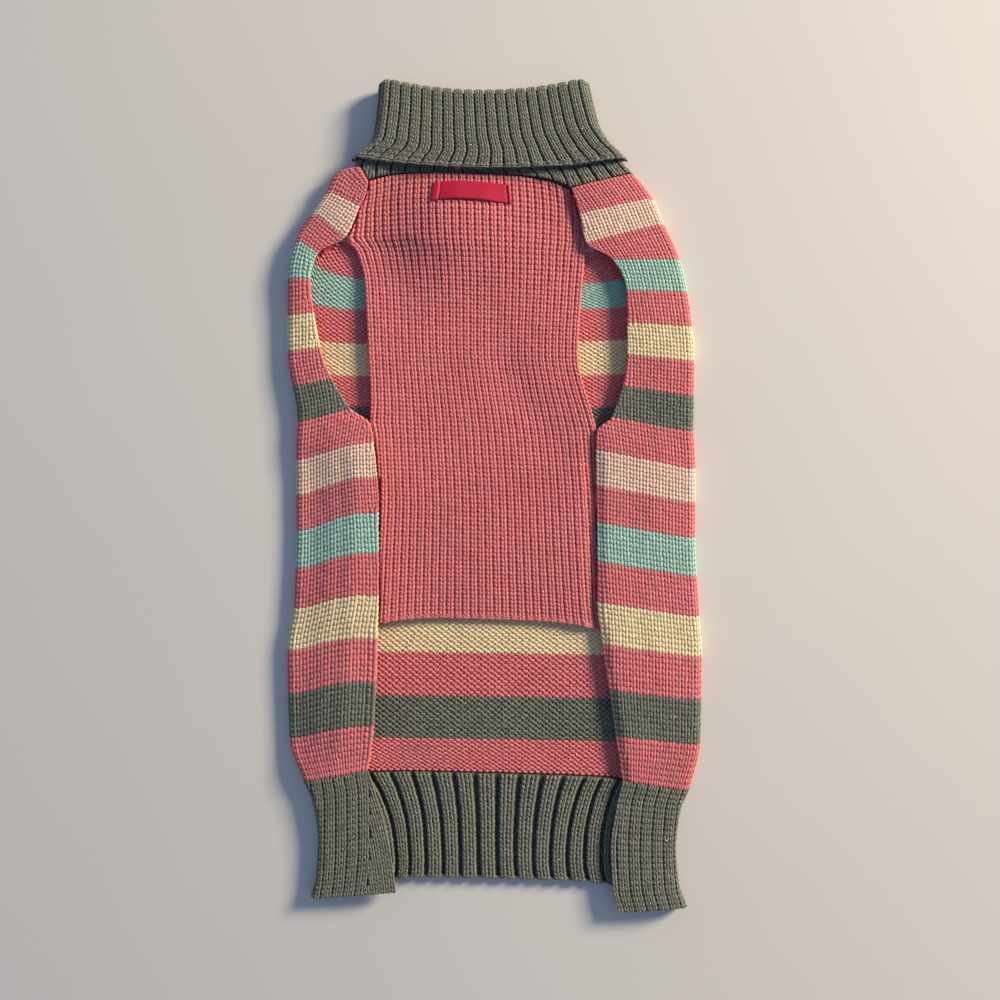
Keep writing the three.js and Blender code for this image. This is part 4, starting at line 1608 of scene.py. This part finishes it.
        ribs = self.chart(0, self.side_ribs + self.fold_ribs, self.side_columns)
        line = ribs[:, 1] / self.courses
        inwards = self.inwards(side, ribs[:, 0], line)
        ribs = ribs[(inwards > -8.0) & (inwards < HEM_CLOTH.run(side, line) - 0.8)]
        flare = self.chart(self.flare, self.flare + 8, (0.5,))
        line = flare[:, 1] / self.courses
        left = HEM_CLOTH.run(side, line) - (flare[:, 0] - self.flare) * self.flare_column
        flare = flare[left > self.inwards(side, np.zeros_like(line), line) - 0.3]
        material = self.finishes.of_yarn(GREY)
        pieces = []
        for name, rows in (("knit", ribs), ("flare", flare)):
            name = f"hem_band_{name}_{side.name.lower()}"
            seed = 17 + side.value
            piece = self.stitches.knit(name, rows, self.knit["side"], wrap, [material], 0, seed)
            pieces.append(dress(piece, "grey_rib"))
        return pieces

    def middle(self) -> bpy.types.Object:
        """The knit columns of the band's middle, seen from inside."""

        def wrap(points: Array, rows: Array) -> Array:
            rib = rows[:, 0] + (points[:, 0] - rows[:, 0]) * self.middle_column
            line = np.clip(points[:, 1] / self.courses, 0, 1)
            height = points[:, 2] - STITCH_SINK
            return raised(self.middle_surface, rib, line, height, 0.03, 0.004, -1)

        material = self.finishes.of_yarn(GREY)
        chart = self.chart(*self.middle_ribs, self.middle_columns)
        piece = self.stitches.knit("hem_band_knit_middle", chart, self.knit["middle"], wrap, [material], 0, 19)
        return dress(piece, "grey_rib")

    def edge(self) -> bpy.types.Object:
        """The bound off chain along the middle's free edge."""
        first, last = self.middle_ribs

        def place(share: Array, aside: Array, height: Array) -> Array:
            rib, line = lerp(first + 1.0, last - 0.5, share), np.clip(0.982 + aside * 0.016, 0, 1)
            return raised(self.middle_surface, rib, line, height - 0.2, 0.03, 0.004, -1)

        material = self.finishes.of_yarn(GREY)
        return bound_edge(self.stitches, "hem_band_edge", 48, place, material, "grey_rib", 41)

    def build(self) -> None:
        """Make the band's cloth and stitches."""
        ground = self.ground()
        knitting = [*self.side(Side.LEFT), self.middle(), *self.side(Side.RIGHT), self.edge()]


@dataclass
class Collar(Knitted):
    """The grey two by two rib turtleneck: a flattened tube folded down over itself.

    Attributes:
        front_ribs: Ribs over the front.
        end_ribs: Ribs round each end.
        seam: Level of the neck seam, as Y in millimetres, as are the next four.
        free_edge: Level of the flap's free edge.
        fold: Level of the fold.
        levels: Levels of the rings of points.
        neck_top: Level where the neck's stitches end, under the flap.
        sag: How far the middle hangs below the ends.
        middle_z: Height of the tube's middle.
        inner_radius: Radius of the innermost face's ends.
        wall: Thickness of one layer.
        layer_gap: Gap between the neck and the flap.
        neck_gap: Gap at the neck seam.
        rib: Height of the ribs.
        flap_courses: Rows of stitches on the flap and its fold.
        neck_courses: Rows of stitches on the neck.
        flat: Width and length of the cut, in metres; not used.
    """

    front_ribs: int = 18
    end_ribs: int = 3
    seam: float = 152.0
    free_edge: float = 158.4
    fold: float = 192.2
    levels: tuple[float, ...] = (seam, 153.5, 155, 156.7, free_edge, 161, 165, 169, 173, 178, 183, 188, fold)
    sag: float = 5.0
    middle_z: float = 5.6
    inner_radius: float = 0.5
    wall: float = 2.4
    layer_gap: float = 0.3
    neck_gap: float = 0.5
    rib: float = 1.3
    flap_courses: int = 20
    neck_courses: int = 5
    neck_top: float = 165.2
    flat: tuple[float, float] = (0.206, 0.082)

    def __post_init__(self) -> None:
        """Make its stitches."""
        self.knit = stitch_object(StitchKind.KNIT, Gauge(2.25, 2.0, 0.6))
        self.flap_depth = 2 * self.wall + self.layer_gap
        self.fold_radius = self.flap_depth / 2
        self.flap_length = self.fold - self.free_edge

    def neck_y(self, x: Array) -> Array:
        """Where the body's top edge lies over the front layers, at each x."""
        zero = np.zeros_like(x)
        edge_lx, edge_ly = BACK_LINES("edgeLX", zero), BACK_LINES("edgeLY", zero)
        edge_rx, edge_ry = BACK_LINES("edgeRX", zero), BACK_LINES("edgeRY", zero)
        radius = BACK_CLOTH.fold_radius(zero)
        left_x = BACK_LINES("foldLX", zero) + radius
        right_x = BACK_LINES("foldRX", zero) - radius
        on_left = np.clip((edge_lx - x) / (edge_lx - left_x), 0, 1)
        on_right = np.clip((x - edge_rx) / (right_x - edge_rx), 0, 1)
        belly = belly_point(np.clip((x - edge_lx) / (edge_rx - edge_lx), 0, 1), zero)[..., 1]
        left = lerp(edge_ly, BACK_LINES("foldLY", zero), on_left)
        right = lerp(edge_ry, BACK_LINES("foldRY", zero), on_right)
        return np.where(x < edge_lx, left, np.where(x > edge_rx, right, belly))

    def back_neck_y(self, x: Array) -> Array:
        """Where the body's top edge lies over the back, at each x."""
        zero = np.zeros_like(x)
        radius = BACK_CLOTH.fold_radius(zero)
        left_x = BACK_LINES("foldLX", zero) + radius
        right_x = BACK_LINES("foldRX", zero) - radius
        return BACK_CLOTH.back(np.clip((x - left_x) / (right_x - left_x), 0, 1), zero)[..., 1]

    def ring_point(self, rib: Array, level: Array, depth: Array) -> Array:
        """A point of the tube.

        Args:
            rib: Place round the tube in ribs: 0 to 18 over the front, 3 more round each end, and from 21 to
                39 under the back.
            level: Place along the tube, from the neck seam to the fold.
            depth: Distance outwards from the innermost face.

        Returns:
            The points.
        """
        front, end = self.front_ribs, self.end_ribs
        level = np.maximum(level, self.seam)
        back_across = 1 - 2 * (rib - front - end) / front
        across = np.clip(np.where(rib > front + end, back_across, 2 * rib / front - 1), -1, 1)
        right_turn = np.clip((rib - front) / end, 0, 1)
        left_turn = np.clip(-rib / end, 0, 1)
        angle = math.pi * np.where(rib > 0, right_turn, -left_turn)
        radius = self.inner_radius + depth
        x = COLLAR_RINGS("centre", level) + across * COLLAR_RINGS("half", level) + radius * np.sin(angle)
        z = self.middle_z + radius * np.cos(angle)
        sagged = level - self.sag * (1 - across**2)
        under = np.abs(angle) > 3.1
        seam_y = np.where(under, self.back_neck_y(x), self.neck_y(x)) + self.neck_gap
        next_level = self.free_edge
        along = np.clip((level - self.seam) / (next_level - self.seam), 0, 1)
        next_y = next_level - self.sag * (1 - across**2)
        y = np.where(level < next_level, lerp(seam_y, next_y, along), sagged)
        return stack(x, y, z)

    def fade(self, rib: Array) -> Array:
        """How much of a rib is raised round the tube: whole over the front, none on the table."""
        turned = np.maximum(rib - self.front_ribs, -rib) / self.end_ribs
        return smoothstep(0.75, 0.45, turned)

    def flap_surface(self, rib: Array, along: Array) -> Array:
        """The ribbed outer face of the turned down flap, by its distance from the free edge, over the fold."""
        turn = np.clip((along - self.flap_length) / self.fold_radius, 0, math.pi)
        level = np.where(along < self.flap_length, self.free_edge + along, self.fold)
        level = level + self.fold_radius * np.sin(turn)
        depth = self.fold_radius * (1 + np.cos(turn))
        groove = self.rib * (1 - rib_height(rib)) * self.fade(rib)
        inward = np.where(turn > 0, groove * np.cos(turn), groove)
        return self.ring_point(rib, level - groove * np.sin(turn), depth - inward)

    def neck_surface(self, rib: Array, level: Array) -> Array:
        """The ribbed outer face of the neck below the flap, which sinks in on the left of the front."""
        sunken = smoothstep(1.0, 3.0, rib) * smoothstep(12.5, 9.5, rib)
        groove = self.rib * (1 - rib_height(rib)) * self.fade(rib) * (1 - 0.8 * sunken)
        return self.ring_point(rib, level, self.wall - groove - 2.0 * sunken)

    def ground(self) -> bpy.types.Object:
        """The cloth under the stitches, as one closed ring of wall."""
        per_rib = 8
        around = np.arange(-self.end_ribs * per_rib, (self.front_ribs + self.end_ribs) * per_rib) / per_rib
        under = self.front_ribs + self.end_ribs + np.arange(0, 48) / 48 * self.front_ribs
        ribs = np.concatenate([around, under])
        full = np.ones_like(ribs)
        levels = np.array(self.levels)
        hidden = levels[levels > self.free_edge]
        sunk = STITCH_DEPTH * self.fade(ribs)
        flap_inner = self.wall + self.layer_gap

        def flap(along: float) -> Array:
            smooth = self.flap_surface(ribs, full * along)
            below = self.flap_surface(ribs, full * min(along, self.flap_length))
            level = min(self.free_edge + along, self.fold)
            shrink = unit(smooth - self.ring_point(ribs, full * level, full * self.fold_radius))
            return smooth - shrink * sunk[:, None] * np.where(below[:, 2:] > 0, 1.0, 0.0)

        loops = [self.ring_point(ribs, full * level, 0 * full) for level in levels]
        turns = np.linspace(0, math.pi, 9)[1:-1][::-1]
        loops += [flap(self.flap_length + turn * self.fold_radius) for turn in turns]
        loops += [flap(level - self.free_edge) for level in levels[levels >= self.free_edge][::-1]]
        loops += [self.ring_point(ribs, full * self.free_edge, full * flap_inner)]
        loops += [self.ring_point(ribs, full * level, full * flap_inner) for level in hidden]
        loops += [self.ring_point(ribs, full * level, full * self.wall) for level in hidden[::-1]]
        for level in levels[levels <= self.free_edge][::-1]:
            point = self.neck_surface(ribs, full * level)
            floor = self.ring_point(ribs, full * level, 0 * full)[:, 2] + 0.15
            point[:, 2] = np.where(self.fade(ribs) > 0.5, np.maximum(point[:, 2] - sunk, floor), point[:, 2])
            loops.append(point)
        grid = np.stack(loops)
        count, columns = grid.shape[:2]
        number = np.arange(count * columns).reshape(count, columns)
        below, beside = np.roll(number, -1, axis=0), np.roll(number, -1, axis=1)
        diagonal = np.roll(below, -1, axis=1)
        faces = np.stack([number.ravel(), below.ravel(), diagonal.ravel(), beside.ravel()], axis=1)
        points = grid.reshape(-1, 3)
        if signed_volume(points, faces) < 0:
            faces = faces[:, ::-1]
        # The grey ground material is near black: painted shade in the rib furrows.
        material = self.finishes.ground[YARNS.index(GREY)]
        piece = mesh_object("collar_ground", points, faces, [material])
        return dress(piece, "grey_rib", "collar")

    def columns(self, first: int, last: int) -> Array:
        """Places of the knit columns from one rib to another."""
        return np.array([rib + at for rib in range(first, last) for at in RIB_COLUMNS])

    def flap(self) -> bpy.types.Object:
        """The knit columns of the flap, up to and over the fold."""
        length = self.flap_length + math.pi * self.fold_radius
        columns = self.columns(1 - self.end_ribs, self.front_ribs + self.end_ribs - 1)
        chart = chart_of(columns, np.arange(self.flap_courses) + 0.5)

        def wrap(points: Array, rows: Array) -> Array:
            rib = rows[:, 0] + (points[:, 0] - rows[:, 0]) * COLUMN_WIDTH
            along = np.clip(points[:, 1] / self.flap_courses, 0, 1) * length
            return raised(self.flap_surface, rib, along, points[:, 2] - STITCH_SINK, 0.03, 0.15)

        material = self.finishes.of_yarn(GREY)
        piece = self.stitches.knit("collar_flap_knit", chart, self.knit, wrap, [material], 0, 29)
        return dress(piece, "grey_rib")

    def neck(self) -> bpy.types.Object:
        """The knit columns of the neck that show below the flap."""
        columns = self.columns(1 - self.end_ribs, self.front_ribs + self.end_ribs - 1)
        chart = chart_of(columns, np.arange(self.neck_courses) + 0.5)

        def wrap(points: Array, rows: Array) -> Array:
            rib = rows[:, 0] + (points[:, 0] - rows[:, 0]) * COLUMN_WIDTH
            level = self.seam + np.clip(points[:, 1] / self.neck_courses, 0, 1) * (self.neck_top - self.seam)
            return raised(self.neck_surface, rib, level, points[:, 2] - STITCH_SINK, 0.03, 0.15)

        material = self.finishes.of_yarn(GREY)
        piece = self.stitches.knit("collar_neck_knit", chart, self.knit, wrap, [material], 0, 31)
        return dress(piece, "grey_rib")

    def edge(self) -> bpy.types.Object:
        """The bound off chain along the flap's free edge."""

        def place(share: Array, aside: Array, height: Array) -> Array:
            rib = lerp(1.2 - self.end_ribs, self.front_ribs + self.end_ribs - 1.2, share)
            return raised(self.flap_surface, rib, 0.4 + aside * 2.4, height - 0.25, 0.03, 0.15)

        material = self.finishes.of_yarn(GREY)
        return bound_edge(self.stitches, "collar_edge", 58, place, material, "grey_rib", 47)

    def build(self) -> None:
        """Make the collar's cloth and stitches."""
        ground = self.ground()
        pieces = [self.flap(), self.neck(), self.edge()]


@dataclass
class Label:
    """The crimson woven label, sewn flat below the collar with both ends folded under.

    Attributes:
        lines: The lines of the belly panel that it reaches from and to.
        shares: The shares of the belly panel's width that it reaches from and to.
        clearance: Its height over the belly panel's surface in millimetres.
        fold_left: Share of its length that is doubled at the left end.
        fold_right: Share of its length that is doubled at the right end.
        flat: Length and width of the ribbon, in metres; not used.
    """

    lines: tuple[float, float] = (0.28, 1.0)
    shares: tuple[float, float] = (0.32, 0.69)
    clearance: float = 0.3
    fold_left: float = 0.085
    fold_right: float = 0.035
    flat: tuple[float, float] = (0.0375, 0.010)

    def build(self, ribbon: bpy.types.Material) -> None:
        """Make the label in the ribbon's material."""
        across = np.linspace(0, 1, 121)
        down = np.linspace(0, 1, 17)
        u, v = np.meshgrid(across, down)
        place = belly_point(lerp(*self.shares, u), lerp(*self.lines, v))
        # The ribbon arches up a little between its sewn ends, most on the left, and its lower edge stands off.
        place[..., 1] += 1.3 * np.sin(math.pi * u**0.75) - 0.3
        end = np.minimum(u, 1 - u)
        doubled = 0.3 * smoothstep(self.fold_left, self.fold_left - 0.012, u)
        doubled = doubled + 0.3 * smoothstep(self.fold_right, self.fold_right - 0.012, 1 - u)
        creased = 0.25 * soft_hump(u, self.fold_left + 0.012, 0.012)
        creased = creased + 0.25 * soft_hump(1 - u, self.fold_right + 0.012, 0.012)
        pillow = (0.35 * np.sin(math.pi * v) + 0.5 * v**2) * smoothstep(0.06, 0.35, end)
        rim = np.minimum(np.minimum(v, 1 - v) * 9.3, end * 37)
        rounded = 0.25 * smoothstep(0.5, 0.0, rim)
        outer, inner = place.copy(), place.copy()
        outer[..., 2] += self.clearance + 0.62 + doubled + pillow - rounded - creased
        inner[..., 2] += self.clearance + 0.1 + pillow * 0.8
        points, faces = shell(outer, inner)
        piece = dress(mesh_object("label_ribbon", points, faces, [ribbon]), "woven_label", "label")
        LOG.info("label_ribbon: %d faces", len(faces))


@dataclass
class Studio:
    """The plain pale table, the soft light and the camera straight above.

    Attributes:
        centre: The point below the camera, in millimetres.
        field: Width of the table that the camera sees, in millimetres.
        table_half: Half the width of the table in millimetres.
        angle: The camera's angle of view.
    """

    centre: tuple[float, float] = (2.8, -1.2)
    field: float = 470.0
    table_half: float = 2500.0
    angle: float = math.radians(50)

    def floor(self) -> None:
        """A large matt off-white table top."""
        half, z = self.table_half, -0.05
        corners = np.array([[-half, -half, z], [half, -half, z], [half, half, z], [-half, half, z]])
        floor = mesh_object("floor", corners, np.array([[0, 1, 2, 3]]), [TableFinish().material()])

    def light(self, name: str, place: tuple, size: float, power: float, colour: int) -> None:
        """A square lamp that points at the garment.

        Args:
            name: The lamp's name.
            place: Where it is, in metres.
            size: Length of its sides in metres.
            power: Its power in watts.
            colour: Its colour as an sRGB hex value.
        """
        data = bpy.data.lights.new(name, "AREA")
        data.size, data.energy, data.color = size, power, linear(colour)[:3]
        lamp = bpy.data.objects.new(name, data)
        bpy.context.scene.collection.objects.link(lamp)
        lamp.location = place
        lamp.rotation_euler = (-lamp.location).to_track_quat("-Z", "Y").to_euler()

    def build(self) -> None:
        """Set up the table, lamps, sky and camera."""
        scene = bpy.context.scene
        self.floor()
        self.light("window", (1.84, 1.08, 0.95), 0.57, 100.0, 0xFFE3C6)
        world = bpy.data.worlds.new("soft_sky")
        world.use_nodes = True
        world.node_tree.nodes.clear()
        sky = add_node(world.node_tree, "ShaderNodeBackground", {"Color": linear(0xB6C6E8), "Strength": 0.45})
        add_node(world.node_tree, "ShaderNodeOutputWorld", {"Surface": sky.outputs[0]})
        scene.world = world
        scene.view_settings.view_transform = "Standard"
        data = bpy.data.cameras.new("camera")
        data.sensor_fit = "AUTO"
        data.angle = self.angle
        camera = bpy.data.objects.new("camera", data)
        scene.collection.objects.link(camera)
        height = self.field / 2 / math.tan(self.angle / 2) + 5
        camera.location = (self.centre[0] * MM, self.centre[1] * MM, height * MM)
        scene.camera = camera


def main() -> None:
    """Build the sweater piece by piece, then the studio."""
    logging.basicConfig(level=logging.INFO, format="%(name)s %(message)s")
    finishes, stitches = Finishes(), StitchTree()
    StripedPanel(finishes, stitches).build()
    BellyPanel(finishes, stitches).build()
    HemBand(finishes, stitches).build()
    Collar(finishes, stitches).build()
    Label().build(finishes.label)
    Studio().build()


if __name__ == "__main__":
    main()
